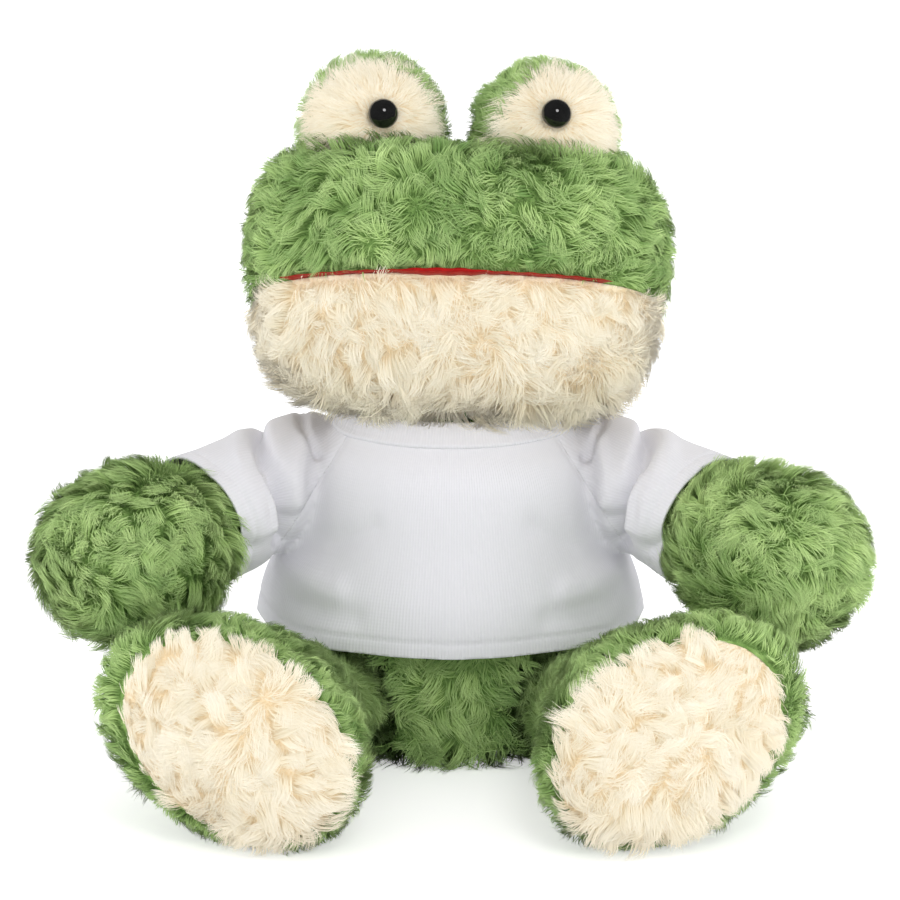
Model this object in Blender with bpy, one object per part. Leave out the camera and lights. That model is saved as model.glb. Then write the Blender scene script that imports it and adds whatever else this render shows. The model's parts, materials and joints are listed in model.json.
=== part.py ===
"""A sitting plush frog in a white T-shirt with raglan sleeves.

Metres, +Z up. The frog faces -Y and sits on the origin. Its plush pieces are the
skins, each about as thick as the cloth and its pile, with loose stuffing inside.
The head turns and nods on a round neck, and the limbs turn on round shoulders and
hips, so each seam between two moving pieces is a ball in a socket.
"""

import math

import bmesh
import bpy
from mathutils import Matrix, Vector

# Shared by all pieces
GAP = 0.0003
SKIN = 0.006
CLOTH = 0.0013
OVERRUN = 0.04
BASE_CUT = 0.0005

# Torso
TORSO_WIDTH = 0.112
TORSO_DEPTH = 0.099
TORSO_HEIGHT = 0.099
TORSO_BACK = 0.002
TORSO_ROUNDNESS_SHARE = 0.909
# height, width and depth, each as a share of the torso's own
TORSO_SHARES = (
    (0.0, 0.82, 0.86),
    (0.04, 0.915, 0.935),
    (0.11, 0.965, 0.97),
    (0.23, 1.0, 1.0),
    (0.38, 0.98, 0.99),
    (0.52, 0.935, 0.965),
    (0.62, 0.87, 0.92),
    (0.72, 0.805, 0.87),
    (0.82, 0.77, 0.83),
    (0.9, 0.735, 0.79),
    (0.96, 0.68, 0.735),
    (1.0, 0.6, 0.65),
)

# Neck: a ball on which the head turns and nods
NECK_HEIGHT = 0.101
NECK_RADIUS = 0.024
NECK_SOCKET = 0.0006

# Head, placed from the middle of the neck
HEAD_WIDTH = 0.1332
HEAD_DEPTH = 0.110
HEAD_HEIGHT = 0.0815
HEAD_LIFT = 0.0048
HEAD_FORWARD = 0.002
HEAD_ROLL_ANGLE = math.radians(2.0)
HEAD_ROUNDNESS_SHARE = 0.889
# the crown's top rises towards the front by this share, from this share of the height up
HEAD_SLOPE_SHARE = 0.25
HEAD_SLOPE_START_SHARE = 0.45
HEAD_SHARES = (
    (0.0, 0.54, 0.33),
    (0.02, 0.68, 0.5),
    (0.055, 0.78, 0.65),
    (0.1, 0.85, 0.77),
    (0.19, 0.915, 0.88),
    (0.31, 0.96, 0.95),
    (0.45, 0.985, 0.99),
    (0.6, 1.0, 1.0),
    (0.73, 0.985, 0.96),
    (0.84, 0.94, 0.89),
    (0.92, 0.865, 0.78),
    (0.97, 0.76, 0.63),
    (0.99, 0.6, 0.46),
    (1.0, 0.36, 0.26),
)
SEAM_HEIGHT = 0.039
SEAM_TILT_ANGLE = math.radians(21.0)
MOUTH_WIDTH = 0.098
MOUTH_HEIGHT = 0.0018
MOUTH_DEPTH = 0.036
MOUTH_SIDE = -0.004

# Eye mounds, each a ball whose middle stands above the head's top
MOUND_RADIUS = 0.023
MOUND_SPREAD = 0.0262
MOUND_SIDE = -0.001
MOUND_RISE = 0.0038
MOUND_FORWARD_SHARE = 0.02
PATCH_RADIUS = 0.0204
PATCH_YAW_ANGLE = math.radians(3.0)
PATCH_PITCH_ANGLE = math.radians(10.0)

# Safety eyes: a dome on a ribbed post, held by a washer behind the plush
EYE_YAW_ANGLE = math.radians(9.0)
EYE_LEFT_PITCH_ANGLE = math.radians(22.0)
EYE_RIGHT_PITCH_ANGLE = math.radians(27.0)
EYE_DIAMETER = 0.009
EYE_DOME = 0.0034
EYE_SUNK = 0.0022
POST_DIAMETER = 0.003
POST_LENGTH = 0.0095
POST_RIBS = 3
POST_RIB = 0.00025
POST_RIB_RISE_SHARE = 0.25
WASHER_DIAMETER = 0.0125
WASHER_THICKNESS = 0.0012
WASHER_BEHIND = 0.0008

# Arms, each along a line from its shoulder to the middle of its paw
SHOULDER_SPREAD = 0.048
SHOULDER_HEIGHT = 0.0835
ARM_REACH = 0.0692
ARM_DIRECTION_SHARES = (0.704, -0.679, -0.211)
ARM_RADIUS = 0.0150
ARM_RAISED_ANGLE = math.radians(30.0)
ARM_LOWERED_ANGLE = math.radians(-10.0)
PAW_RADIUS = 0.0310
PAW_FLATNESS_SHARE = 0.91
ARM_OPEN_END = 0.005
# distance as a share of the reach, then how far the radius goes from arm to paw
ARM_SHARES = (
    (0.0, 0.0),
    (0.14, 0.0),
    (0.38, 0.08),
    (0.6, 0.23),
    (0.69, 0.5),
    (0.79, 0.8),
    (0.9, 0.96),
    (1.0, 1.0),
    (1.13, 0.93),
    (1.25, 0.66),
    (1.35, 0.26),
    (1.41, -0.15),
)
ARM_TIP_SHARE = 1.43

# Legs, each along a line from its hip to the middle of its foot
HIP_SPREAD = 0.038
HIP_FORWARD = 0.036
HIP_HEIGHT = 0.0188
HIP_SOCKET = 0.0005
LEG_RADIUS = 0.0183
LEG_REACH = 0.0815
FOOT_SPREAD = 0.066
FOOT_HEIGHT = 0.0338
FOOT_LENGTH = 0.090
FOOT_WIDTH = 0.0635
FOOT_TILT_ANGLE = math.radians(25.0)
LEG_OPEN_END = 0.008
# distance, width and thickness from leg to foot, and turn of the foot, as shares
LEG_SHARES = (
    (0.0, 0.0, 0.0, 0.0),
    (0.07, -0.032, -0.065, 0.0),
    (0.13, -0.022, -0.045, 0.05),
    (0.2, 0.03, 0.06, 0.12),
    (0.36, 0.17, 0.36, 0.3),
    (0.54, 0.37, 0.62, 0.6),
    (0.72, 0.7, 0.88, 0.85),
    (0.86, 0.94, 0.99, 1.0),
    (0.98, 1.0, 1.0, 1.0),
    (1.06, 0.95, 0.92, 1.0),
    (1.125, 0.77, 0.65, 1.0),
    (1.17, 0.45, 0.17, 1.0),
    (1.2, 0.0, -0.45, 1.0),
)
LEG_TIP_SHARE = 1.21
SOLE_LINE_SHARE = 1.115

# Shirt
SHIRT_HEM_HEIGHT = 0.039
SHIRT_NECK_HEIGHT = 0.0985
SHIRT_EASE = 0.0048
# height from hem to neckline, and how far it stands off the torso, as shares
SHIRT_SHARES = (
    (0.0, 1.0),
    (0.12, 0.92),
    (0.25, 0.72),
    (0.38, 0.4),
    (0.52, 0.12),
    (0.68, 0.04),
    (0.82, 0.04),
    (0.93, 0.02),
    (1.0, 0.0),
)
SHIRT_SEAM_BACK = 0.004
FOLD_COUNT = 7
FOLD_DEPTH = 0.0016
FOLD_TOP_SHARE = 0.55

# Collar
COLLAR_HEIGHT = 0.0036
COLLAR_LEAN = 0.0016
COLLAR_CLOTH = 0.0018
COLLAR_SHARES = (0.0, 0.5, 1.0)

# Sleeves
SLEEVE_RADIUS = 0.0171
SLEEVE_HEM_RADIUS = 0.0222
SLEEVE_LENGTH = 0.043
SLEEVE_SOCKET = 0.0006
SLEEVE_CAP = 0.0115
SLEEVE_FOLDS = 5
SLEEVE_FOLD_DEPTH = 0.0005
SLEEVE_SHARES = (
    (0.0, 0.0),
    (0.22, 0.05),
    (0.48, 0.32),
    (0.75, 0.7),
    (1.0, 1.0),
)

# How finely the round forms are cut
BODY_SEGMENTS = 28
LINING_SEGMENTS = 14
LIMB_SEGMENTS = 20
SMALL_SEGMENTS = 12
DOME_ROWS = 4
CAP_ROWS = 2
BALL_END_ROWS = 3
BALL_END_SHARE = 0.9
SHARP_ANGLE = math.radians(50.0)
ROUND_SHARE = 1

# Colours and roughness
GREEN_COLOUR = (0.13, 0.32, 0.09)
CREAM_COLOUR = (0.87, 0.80, 0.62)
WHITE_COLOUR = (0.78, 0.79, 0.83)
RED_COLOUR = (0.58, 0.01, 0.01)
BLACK_COLOUR = (0.006, 0.006, 0.006)
FIBRE_COLOUR = (0.82, 0.82, 0.80)
NYLON_COLOUR = (0.75, 0.75, 0.72)
FUR_ROUGHNESS = 0.95
CLOTH_ROUGHNESS = 0.85
SATIN_ROUGHNESS = 0.4
GLOSS_ROUGHNESS = 0.08
PLASTIC_ROUGHNESS = 0.45


def clear_scene():
    for old in list(bpy.data.objects):
        bpy.data.objects.remove(old, do_unlink=True)


def material(name, colour, roughness):
    made = bpy.data.materials.new(name)
    made.use_nodes = True
    shader = made.node_tree.nodes["Principled BSDF"]
    shader.inputs["Base Color"].default_value = (*colour, 1.0)
    shader.inputs["Roughness"].default_value = roughness
    shader.inputs["Metallic"].default_value = 0.0
    return made


def empty(name, place, turn=(0.0, 0.0, 0.0)):
    made = bpy.data.objects.new(name, None)
    made.location = place
    made.rotation_euler = turn
    bpy.context.scene.collection.objects.link(made)
    return made


def place_mesh(name, bm, parent=None, colour=None, roughness=None):
    """Turn a bmesh into an object, and into a piece of the frog where it has a colour."""
    bmesh.ops.recalc_face_normals(bm, faces=bm.faces)
    mesh = bpy.data.meshes.new(name)
    bm.to_mesh(mesh)
    bm.free()
    mesh.shade_smooth()
    mesh.set_sharp_from_angle(angle=SHARP_ANGLE)
    made = bpy.data.objects.new(name, mesh)
    bpy.context.scene.collection.objects.link(made)
    made.parent = parent
    if colour is None:
        made.hide_render = True
        made.display_type = "WIRE"
    else:
        mesh.materials.append(material(name, colour, roughness))
    return made


def cut(piece, *cutters, operation="DIFFERENCE", solver="EXACT"):
    for cutter in cutters:
        step = piece.modifiers.new(cutter.name, "BOOLEAN")
        step.operation = operation
        step.object = cutter
        step.solver = solver


def keep(piece, cutter):
    cut(piece, cutter, operation="INTERSECT")


def ring(centre, side, up, roundness, segments):
    """Points round an ellipse on the vectors side and up, squarer where roundness is under 1."""
    points = []
    for k in range(segments):
        angle = 2 * math.pi * k / segments
        across = math.cos(angle)
        along = math.sin(angle)
        wide = math.copysign(abs(across) ** roundness, across)
        tall = math.copysign(abs(along) ** roundness, along)
        points.append(centre + side * wide + up * tall)
    return points


def bridge(bm, low, high):
    for k in range(len(low)):
        after = (k + 1) % len(low)
        bm.faces.new((low[k], low[after], high[after], high[k]))


def fan(bm, row, tip):
    for k in range(len(row)):
        bm.faces.new((row[k], row[(k + 1) % len(row)], tip))


def loft(rings, first_tip, last_tip):
    """A closed form through the rings, with a point at each end."""
    bm = bmesh.new()
    rows = [[bm.verts.new(point) for point in points] for points in rings]
    for low, high in zip(rows, rows[1:]):
        bridge(bm, low, high)
    fan(bm, rows[0], bm.verts.new(first_tip))
    fan(bm, rows[-1], bm.verts.new(last_tip))
    return bm


def band(outer_rings, inner_rings):
    """A tube with a wall, open at both ends."""
    bm = bmesh.new()
    outer = [[bm.verts.new(point) for point in points] for points in outer_rings]
    inner = [[bm.verts.new(point) for point in points] for points in inner_rings]
    for rows in (outer, inner):
        for low, high in zip(rows, rows[1:]):
            bridge(bm, low, high)
    bridge(bm, inner[0], outer[0])
    bridge(bm, outer[-1], inner[-1])
    return bm


def lathe(profile, segments):
    """A solid turned round +Z from (radius, height) pairs, closed on the axis."""
    rings = [
        ring(Vector((0, 0, height)), Vector((radius, 0, 0)), Vector((0, radius, 0)), ROUND_SHARE, segments)
        for radius, height in profile
    ]
    return loft(rings, Vector((0, 0, profile[0][1])), Vector((0, 0, profile[-1][1])))


def ball_profile(radius, rows):
    """A ball's outline from its lowest ring to its highest."""
    profile = []
    for k in range(1, rows):
        angle = math.pi * k / rows
        profile.append((radius * math.sin(angle), -radius * math.cos(angle)))
    return profile


def ball(radius, segments, centre=Vector((0, 0, 0))):
    rows = segments // 2
    rings = [
        ring(
            centre + Vector((0, 0, height)),
            Vector((around, 0, 0)),
            Vector((0, around, 0)),
            ROUND_SHARE,
            segments,
        )
        for around, height in ball_profile(radius, rows)
    ]
    return loft(rings, centre - Vector((0, 0, radius)), centre + Vector((0, 0, radius)))


def block(low, high):
    bm = bmesh.new()
    bmesh.ops.create_cube(bm, size=1)
    middle = (Vector(low) + Vector(high)) / 2
    size = Vector(high) - Vector(low)
    bmesh.ops.scale(bm, vec=size, verts=bm.verts)
    bmesh.ops.translate(bm, vec=middle, verts=bm.verts)
    return bm


def upright_form(shares, width, depth, height, centre, roundness, inset, segments, slopes=(0, 1)):
    """A stuffed form of rings, smaller all round by the inset; slopes is the top's slope and its start."""
    rings = []
    usable = height - 2 * inset
    for tall, wide, deep in shares:
        middle = centre + Vector((0, 0, inset + usable * tall))
        half_width = max(width / 2 * wide - inset, inset)
        half_depth = max(depth / 2 * deep - inset, inset)
        slope = slopes[0] * max(tall - slopes[1], 0)
        rings.append(
            ring(
                middle,
                Vector((half_width, 0, 0)),
                Vector((0, half_depth, -half_depth * slope)),
                roundness,
                segments,
            )
        )
    low = centre + Vector((0, 0, inset))
    high = centre + Vector((0, 0, inset + usable))
    return loft(rings, low, high)


def torso_form(inset, segments):
    centre = Vector((0, TORSO_BACK, -BASE_CUT))
    height = TORSO_HEIGHT + BASE_CUT
    return upright_form(
        TORSO_SHARES, TORSO_WIDTH, TORSO_DEPTH, height, centre, TORSO_ROUNDNESS_SHARE, inset, segments
    )


def torso_at(height):
    """Half the torso's width and depth at a height above the floor."""
    share = (height + BASE_CUT) / (TORSO_HEIGHT + BASE_CUT)
    for low, high in zip(TORSO_SHARES, TORSO_SHARES[1:]):
        if share <= high[0]:
            break
    mix = (share - low[0]) / (high[0] - low[0])
    wide = low[1] + (high[1] - low[1]) * mix
    deep = low[2] + (high[2] - low[2]) * mix
    return TORSO_WIDTH / 2 * wide, TORSO_DEPTH / 2 * deep


def head_form(inset, segments):
    centre = Vector((0, -HEAD_FORWARD, HEAD_LIFT))
    slopes = (HEAD_SLOPE_SHARE / (1 - HEAD_SLOPE_START_SHARE), HEAD_SLOPE_START_SHARE)
    form = upright_form(
        HEAD_SHARES,
        HEAD_WIDTH,
        HEAD_DEPTH,
        HEAD_HEIGHT,
        centre,
        HEAD_ROUNDNESS_SHARE,
        inset,
        segments,
        slopes,
    )
    bmesh.ops.triangulate(form, faces=form.faces, quad_method="FIXED")
    return form


def facing(yaw, pitch):
    """The direction out of a face that looks along -Y, turned and lifted."""
    return Vector(
        (
            math.sin(yaw) * math.cos(pitch),
            -math.cos(yaw) * math.cos(pitch),
            math.sin(pitch),
        )
    )


def along(direction):
    """A turn that takes +Z to the direction and keeps +Y as high as it can."""
    forward = direction.normalized()
    side = Vector((0, 0, 1)).cross(forward).normalized()
    up = forward.cross(side)
    return Matrix((side, up, forward)).transposed()


def set_along(piece, place, direction):
    piece.matrix_local = Matrix.Translation(place) @ along(direction).to_4x4()


def make_floor():
    """What lies below the surface that the frog sits on, to cut its base flat."""
    reach = TORSO_WIDTH + LEG_REACH
    return place_mesh("floor_cutter", block((-reach, -reach, -OVERRUN), (reach, reach, 0)))


def make_torso(sockets, floor):
    lining = place_mesh("torso_lining", torso_form(SKIN, LINING_SEGMENTS))
    skin = place_mesh("torso_skin", torso_form(0, BODY_SEGMENTS), None, GREEN_COLOUR, FUR_ROUGHNESS)
    cut(skin, lining, floor)
    cut(skin, *sockets, solver="MANIFOLD")
    stuffing = place_mesh(
        "torso_stuffing", torso_form(SKIN + GAP, LINING_SEGMENTS), None, FIBRE_COLOUR, FUR_ROUGHNESS
    )
    cut(stuffing, *sockets, solver="MANIFOLD")


def make_neck(pivot):
    place_mesh("neck", ball(NECK_RADIUS, LIMB_SEGMENTS), pivot, GREEN_COLOUR, FUR_ROUGHNESS)


def seam_block(pivot, name, lowest, highest, half_width, front, back):
    """A block in the tilted plane of the seam between crown and muzzle."""
    low = (-half_width, -front, lowest)
    high = (half_width, back, highest)
    made = place_mesh(name, block(low, high), pivot)
    made.location = (0, -HEAD_FORWARD, SEAM_HEIGHT)
    made.rotation_euler = (-SEAM_TILT_ANGLE, 0, 0)
    return made


def make_head(pivot, neck_socket, mound_sockets):
    lining = place_mesh("head_lining", head_form(SKIN, LINING_SEGMENTS), pivot)
    below = seam_block(
        pivot, "below_seam", -HEAD_WIDTH, GAP / 2, HEAD_WIDTH, HEAD_WIDTH, HEAD_WIDTH
    )
    above = seam_block(
        pivot, "above_seam", -GAP / 2, HEAD_WIDTH, HEAD_WIDTH, HEAD_WIDTH, HEAD_WIDTH
    )
    crown = place_mesh("head_crown", head_form(0, BODY_SEGMENTS), pivot, GREEN_COLOUR, FUR_ROUGHNESS)
    cut(crown, lining, below, neck_socket, *mound_sockets)

    notch = seam_block(
        pivot,
        "mouth_notch",
        -MOUTH_HEIGHT,
        OVERRUN,
        MOUTH_WIDTH / 2,
        HEAD_DEPTH,
        -HEAD_DEPTH / 2 + MOUTH_DEPTH,
    )
    muzzle = place_mesh("muzzle", head_form(0, BODY_SEGMENTS), pivot, CREAM_COLOUR, FUR_ROUGHNESS)
    cut(muzzle, lining, above, neck_socket, notch)

    lip = seam_block(
        pivot,
        "mouth_space",
        GAP - MOUTH_HEIGHT,
        -GAP / 2,
        MOUTH_WIDTH / 2 - GAP,
        HEAD_DEPTH,
        -HEAD_DEPTH / 2 + MOUTH_DEPTH - GAP,
    )
    for box in (notch, lip):
        box.location.x = MOUTH_SIDE
    strip = place_mesh("mouth_strip", head_form(0, BODY_SEGMENTS), pivot, RED_COLOUR, SATIN_ROUGHNESS)
    cut(strip, lining)
    keep(strip, lip)

    stuffing = place_mesh(
        "head_stuffing", head_form(SKIN + GAP, LINING_SEGMENTS), pivot, FIBRE_COLOUR, FUR_ROUGHNESS
    )
    cut(stuffing, neck_socket, *mound_sockets)


def eye_profile():
    """The dome from its flat back to its crown, over a post with ribs."""
    post = POST_DIAMETER / 2
    eye = EYE_DIAMETER / 2
    profile = [(post - POST_RIB, -POST_LENGTH)]
    pitch = POST_LENGTH / (POST_RIBS + 2)
    for k in range(POST_RIBS):
        height = -POST_LENGTH + pitch * (k + 1)
        profile.append((post + POST_RIB, height - pitch * POST_RIB_RISE_SHARE))
        profile.append((post, height))
    profile.append((post, 0))
    profile.append((eye - POST_RIB, 0))
    for k in range(DOME_ROWS):
        angle = math.pi / 2 * k / DOME_ROWS
        profile.append((eye * math.cos(angle), POST_RIB + EYE_DOME * math.sin(angle)))
    return profile


def make_eye(side, pivot, place, direction):
    """The eye, its washer, and the cutters for the places that they sit in."""
    eye = place_mesh(
        "eye_" + side, lathe(eye_profile(), SMALL_SEGMENTS), pivot, BLACK_COLOUR, GLOSS_ROUGHNESS
    )
    seat = MOUND_RADIUS - EYE_SUNK
    set_along(eye, place + direction * seat, direction)

    bore = POST_DIAMETER / 2 + POST_RIB + GAP
    washer_face = math.sqrt((MOUND_RADIUS - SKIN) ** 2 - (WASHER_DIAMETER / 2) ** 2) - WASHER_BEHIND
    washer = place_mesh(
        "eye_washer_" + side,
        lathe([(WASHER_DIAMETER / 2, -WASHER_THICKNESS), (WASHER_DIAMETER / 2, 0)], SMALL_SEGMENTS),
        pivot,
        NYLON_COLOUR,
        PLASTIC_ROUGHNESS,
    )
    set_along(washer, place + direction * washer_face, direction)

    hole = place_mesh(
        "post_hole_" + side, lathe([(bore, -OVERRUN / 2), (bore, OVERRUN)], SMALL_SEGMENTS), pivot
    )
    set_along(hole, place + direction * MOUND_RADIUS, direction)
    cut(washer, hole)

    bed = EYE_DIAMETER / 2 + GAP
    socket = place_mesh(
        "eye_bed_" + side, lathe([(bed, -GAP), (bed, OVERRUN)], SMALL_SEGMENTS), pivot
    )
    set_along(socket, place + direction * seat, direction)

    pocket_radius = WASHER_DIAMETER / 2 + GAP
    pocket = place_mesh(
        "washer_pocket_" + side,
        lathe(
            [(pocket_radius, -POST_LENGTH - GAP), (pocket_radius, OVERRUN)],
            SMALL_SEGMENTS,
        ),
        pivot,
    )
    set_along(pocket, place + direction * (seat - GAP), direction)
    return hole, socket, pocket


def mound_place(hand):
    """The middle of a mound's ball, from the middle of the neck."""
    forward = HEAD_DEPTH / 2 * MOUND_FORWARD_SHARE
    height = HEAD_LIFT + HEAD_HEIGHT + MOUND_RISE
    return Vector((MOUND_SIDE + hand * MOUND_SPREAD, -forward, height))


def make_mound(side, hand, pivot):
    place = mound_place(hand)
    front = facing(PATCH_YAW_ANGLE, PATCH_PITCH_ANGLE)
    pitch = EYE_LEFT_PITCH_ANGLE if hand < 0 else EYE_RIGHT_PITCH_ANGLE
    gaze = facing(EYE_YAW_ANGLE, pitch)
    hole, socket, pocket = make_eye(side, pivot, place, gaze)

    lining = place_mesh("mound_lining_" + side, ball(MOUND_RADIUS - SKIN, LIMB_SEGMENTS, place), pivot)
    reach = math.sqrt(MOUND_RADIUS ** 2 - PATCH_RADIUS ** 2)
    wide = MOUND_RADIUS + GAP
    ahead = place_mesh("mound_front_" + side, block((-wide, -wide, 0), (wide, wide, wide)), pivot)
    set_along(ahead, place + front * (reach - GAP / 2), front)
    behind = place_mesh("mound_back_" + side, block((-wide, -wide, -2 * wide), (wide, wide, 0)), pivot)
    set_along(behind, place + front * (reach + GAP / 2), front)

    back = place_mesh(
        "eye_mound_" + side, ball(MOUND_RADIUS, LIMB_SEGMENTS, place), pivot, GREEN_COLOUR, FUR_ROUGHNESS
    )
    cut(back, lining, ahead)
    patch = place_mesh(
        "eye_patch_" + side, ball(MOUND_RADIUS, LIMB_SEGMENTS, place), pivot, CREAM_COLOUR, FUR_ROUGHNESS
    )
    cut(patch, lining, behind, hole, socket)
    fill = place_mesh(
        "mound_stuffing_" + side,
        ball(MOUND_RADIUS - SKIN - GAP, LIMB_SEGMENTS, place),
        pivot,
        FIBRE_COLOUR,
        FUR_ROUGHNESS,
    )
    cut(fill, pocket)


def arm_direction(hand):
    across, forward, up = ARM_DIRECTION_SHARES
    return Vector((hand * across, forward, up)).normalized()


def rings_middle(points):
    return sum(points, Vector()) / len(points)


def ball_end(radius, depth, segments):
    """Rings over the back of a limb's ball, from near its pole up to its middle."""
    rings = []
    steps = BALL_END_ROWS
    deepest = min(depth + GAP, radius * BALL_END_SHARE)
    for k in range(steps):
        height = -deepest * (1 - k / steps)
        around = math.sqrt(radius ** 2 - height ** 2)
        centre = Vector((0, 0, height))
        rings.append(ring(centre, Vector((around, 0, 0)), Vector((0, around, 0)), ROUND_SHARE, segments))
    return rings


def arm_form(inset, segments):
    """The arm and its paw along +Z, from the shoulder at the origin."""
    rings = ball_end(ARM_RADIUS - inset, ARM_OPEN_END, segments)
    for distance, swell in ARM_SHARES:
        wide = ARM_RADIUS + (PAW_RADIUS - ARM_RADIUS) * swell - inset
        flat = 1 + (PAW_FLATNESS_SHARE - 1) * max(swell, 0)
        wide = max(wide, inset / 2)
        reach = ARM_REACH * distance
        if distance > 1:
            reach -= inset * (distance - 1) / (ARM_TIP_SHARE - 1)
        rings.append(
            ring(
                Vector((0, 0, reach)),
                Vector((wide, 0, 0)),
                Vector((0, wide * flat, 0)),
                ROUND_SHARE,
                segments,
            )
        )
    return loft(rings, rings_middle(rings[0]), Vector((0, 0, ARM_REACH * ARM_TIP_SHARE - inset)))


def make_arm(side, hand, pivot):
    """An arm with its paw, its stuffing and the sleeve that turns with it."""
    direction = arm_direction(hand)
    reach = ARM_REACH
    behind = place_mesh(
        "arm_end_" + side, block((-reach, -reach, -reach), (reach, reach, -ARM_OPEN_END)), pivot
    )
    lining = place_mesh("arm_lining_" + side, arm_form(SKIN, SMALL_SEGMENTS), pivot)
    arm = place_mesh("arm_" + side, arm_form(0, LIMB_SEGMENTS), pivot, GREEN_COLOUR, FUR_ROUGHNESS)
    stuffing = place_mesh(
        "arm_stuffing_" + side, arm_form(SKIN + GAP, SMALL_SEGMENTS), pivot, FIBRE_COLOUR, FUR_ROUGHNESS
    )
    for piece in (behind, lining, arm, stuffing):
        set_along(piece, Vector((0, 0, 0)), direction)
    cut(arm, lining, behind)
    cut(stuffing, behind)


def sleeve_rings(inset):
    """Rings from the cap over the shoulder to the hem, with soft folds near the hem."""
    rings = []
    radius = SLEEVE_RADIUS - inset
    for k in range(CAP_ROWS):
        depth = SLEEVE_CAP * (1 - k / CAP_ROWS)
        around = math.sqrt(radius ** 2 - depth ** 2)
        rings.append((-depth, around, 0))
    for along_share, flare in SLEEVE_SHARES:
        wide = radius + (SLEEVE_HEM_RADIUS - SLEEVE_RADIUS) * flare
        rings.append((SLEEVE_LENGTH * along_share, wide, SLEEVE_FOLD_DEPTH * flare))
    made = []
    for height, wide, fold in rings:
        points = []
        for k in range(LIMB_SEGMENTS):
            angle = 2 * math.pi * k / LIMB_SEGMENTS
            around = wide + fold * math.cos(SLEEVE_FOLDS * angle)
            points.append(Vector((around * math.cos(angle), around * math.sin(angle), height)))
        made.append(points)
    return made


def make_sleeve_paths(side, hand, pivot):
    """The room that the sleeve needs as the arm goes from its lowest to its highest."""
    made = [
        place_mesh(
            "sleeve_socket_" + side, ball(SLEEVE_RADIUS + SLEEVE_SOCKET, LIMB_SEGMENTS), pivot
        )
    ]
    direction = arm_direction(hand)
    hinge = Vector((direction.x, direction.y, 0)).cross(Vector((0, 0, 1)))
    turns = (ARM_LOWERED_ANGLE, (ARM_LOWERED_ANGLE + ARM_RAISED_ANGLE) / 2, ARM_RAISED_ANGLE)
    for number, angle in enumerate(turns):
        room = SLEEVE_SOCKET - GAP * number / len(turns)
        profile = []
        for share, flare in SLEEVE_SHARES:
            wide = SLEEVE_RADIUS + (SLEEVE_HEM_RADIUS - SLEEVE_RADIUS) * flare
            profile.append((wide + room, SLEEVE_LENGTH * share + room))
        path = place_mesh(
            f"sleeve_path_{side}_{number}", lathe(profile, LIMB_SEGMENTS + number), pivot
        )
        set_along(path, Vector((0, 0, 0)), Matrix.Rotation(angle, 3, hinge) @ direction)
        made.append(path)
    return made


def make_sleeve(side, hand, pivot):
    sleeve = place_mesh(
        "sleeve_" + side, band(sleeve_rings(0), sleeve_rings(CLOTH)), pivot, WHITE_COLOUR, CLOTH_ROUGHNESS
    )
    set_along(sleeve, Vector((0, 0, 0)), arm_direction(hand))


def leg_direction(hand):
    return Vector(
        (
            hand * (FOOT_SPREAD - HIP_SPREAD),
            -math.sqrt(LEG_REACH ** 2 - (FOOT_SPREAD - HIP_SPREAD) ** 2),
            FOOT_HEIGHT - HIP_HEIGHT,
        )
    ).normalized()


def leg_form(hand, inset, segments):
    """The leg and its broad foot along +Z, from the hip at the origin."""
    rings = ball_end(LEG_RADIUS - inset, LEG_OPEN_END, segments)
    for distance, widen, thicken, turn in LEG_SHARES:
        wide = LEG_RADIUS + (FOOT_LENGTH / 2 - LEG_RADIUS) * widen - inset
        thick = LEG_RADIUS + (FOOT_WIDTH / 2 - LEG_RADIUS) * thicken - inset
        wide = max(wide, inset)
        thick = max(thick, inset / 2)
        angle = FOOT_TILT_ANGLE * turn * hand
        reach = LEG_REACH * distance
        if distance > 1:
            reach -= inset * (distance - 1) / (LEG_TIP_SHARE - 1)
        rings.append(
            ring(
                Vector((0, 0, reach)),
                Vector((math.cos(angle), math.sin(angle), 0)) * wide,
                Vector((-math.sin(angle), math.cos(angle), 0)) * thick,
                ROUND_SHARE,
                segments,
            )
        )
    return loft(rings, rings_middle(rings[0]), Vector((0, 0, LEG_REACH * LEG_TIP_SHARE - inset)))


def make_leg(side, hand, pivot, floor):
    """A leg with the cream sole at its end and its stuffing."""
    direction = leg_direction(hand)
    reach = LEG_REACH
    line = LEG_REACH * SOLE_LINE_SHARE
    behind = place_mesh(
        "leg_end_" + side, block((-reach, -reach, -reach), (reach, reach, -LEG_OPEN_END)), pivot
    )
    ahead = place_mesh(
        "sole_side_" + side,
        block((-reach, -reach, line - GAP / 2), (reach, reach, line + reach)),
        pivot,
    )
    not_sole = place_mesh(
        "leg_side_" + side,
        block((-reach, -reach, -reach), (reach, reach, line + GAP / 2)),
        pivot,
    )
    lining = place_mesh("leg_lining_" + side, leg_form(hand, SKIN, SMALL_SEGMENTS), pivot)
    leg = place_mesh("leg_" + side, leg_form(hand, 0, LIMB_SEGMENTS), pivot, GREEN_COLOUR, FUR_ROUGHNESS)
    sole = place_mesh("sole_" + side, leg_form(hand, 0, LIMB_SEGMENTS), pivot, CREAM_COLOUR, FUR_ROUGHNESS)
    stuffing = place_mesh(
        "leg_stuffing_" + side,
        leg_form(hand, SKIN + GAP, SMALL_SEGMENTS),
        pivot,
        FIBRE_COLOUR,
        FUR_ROUGHNESS,
    )
    for piece in (behind, ahead, not_sole, lining, leg, sole, stuffing):
        set_along(piece, Vector((0, 0, 0)), direction)
    cut(leg, floor, behind, ahead, lining)
    cut(sole, lining, not_sole, floor)
    cut(stuffing, behind)


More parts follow.
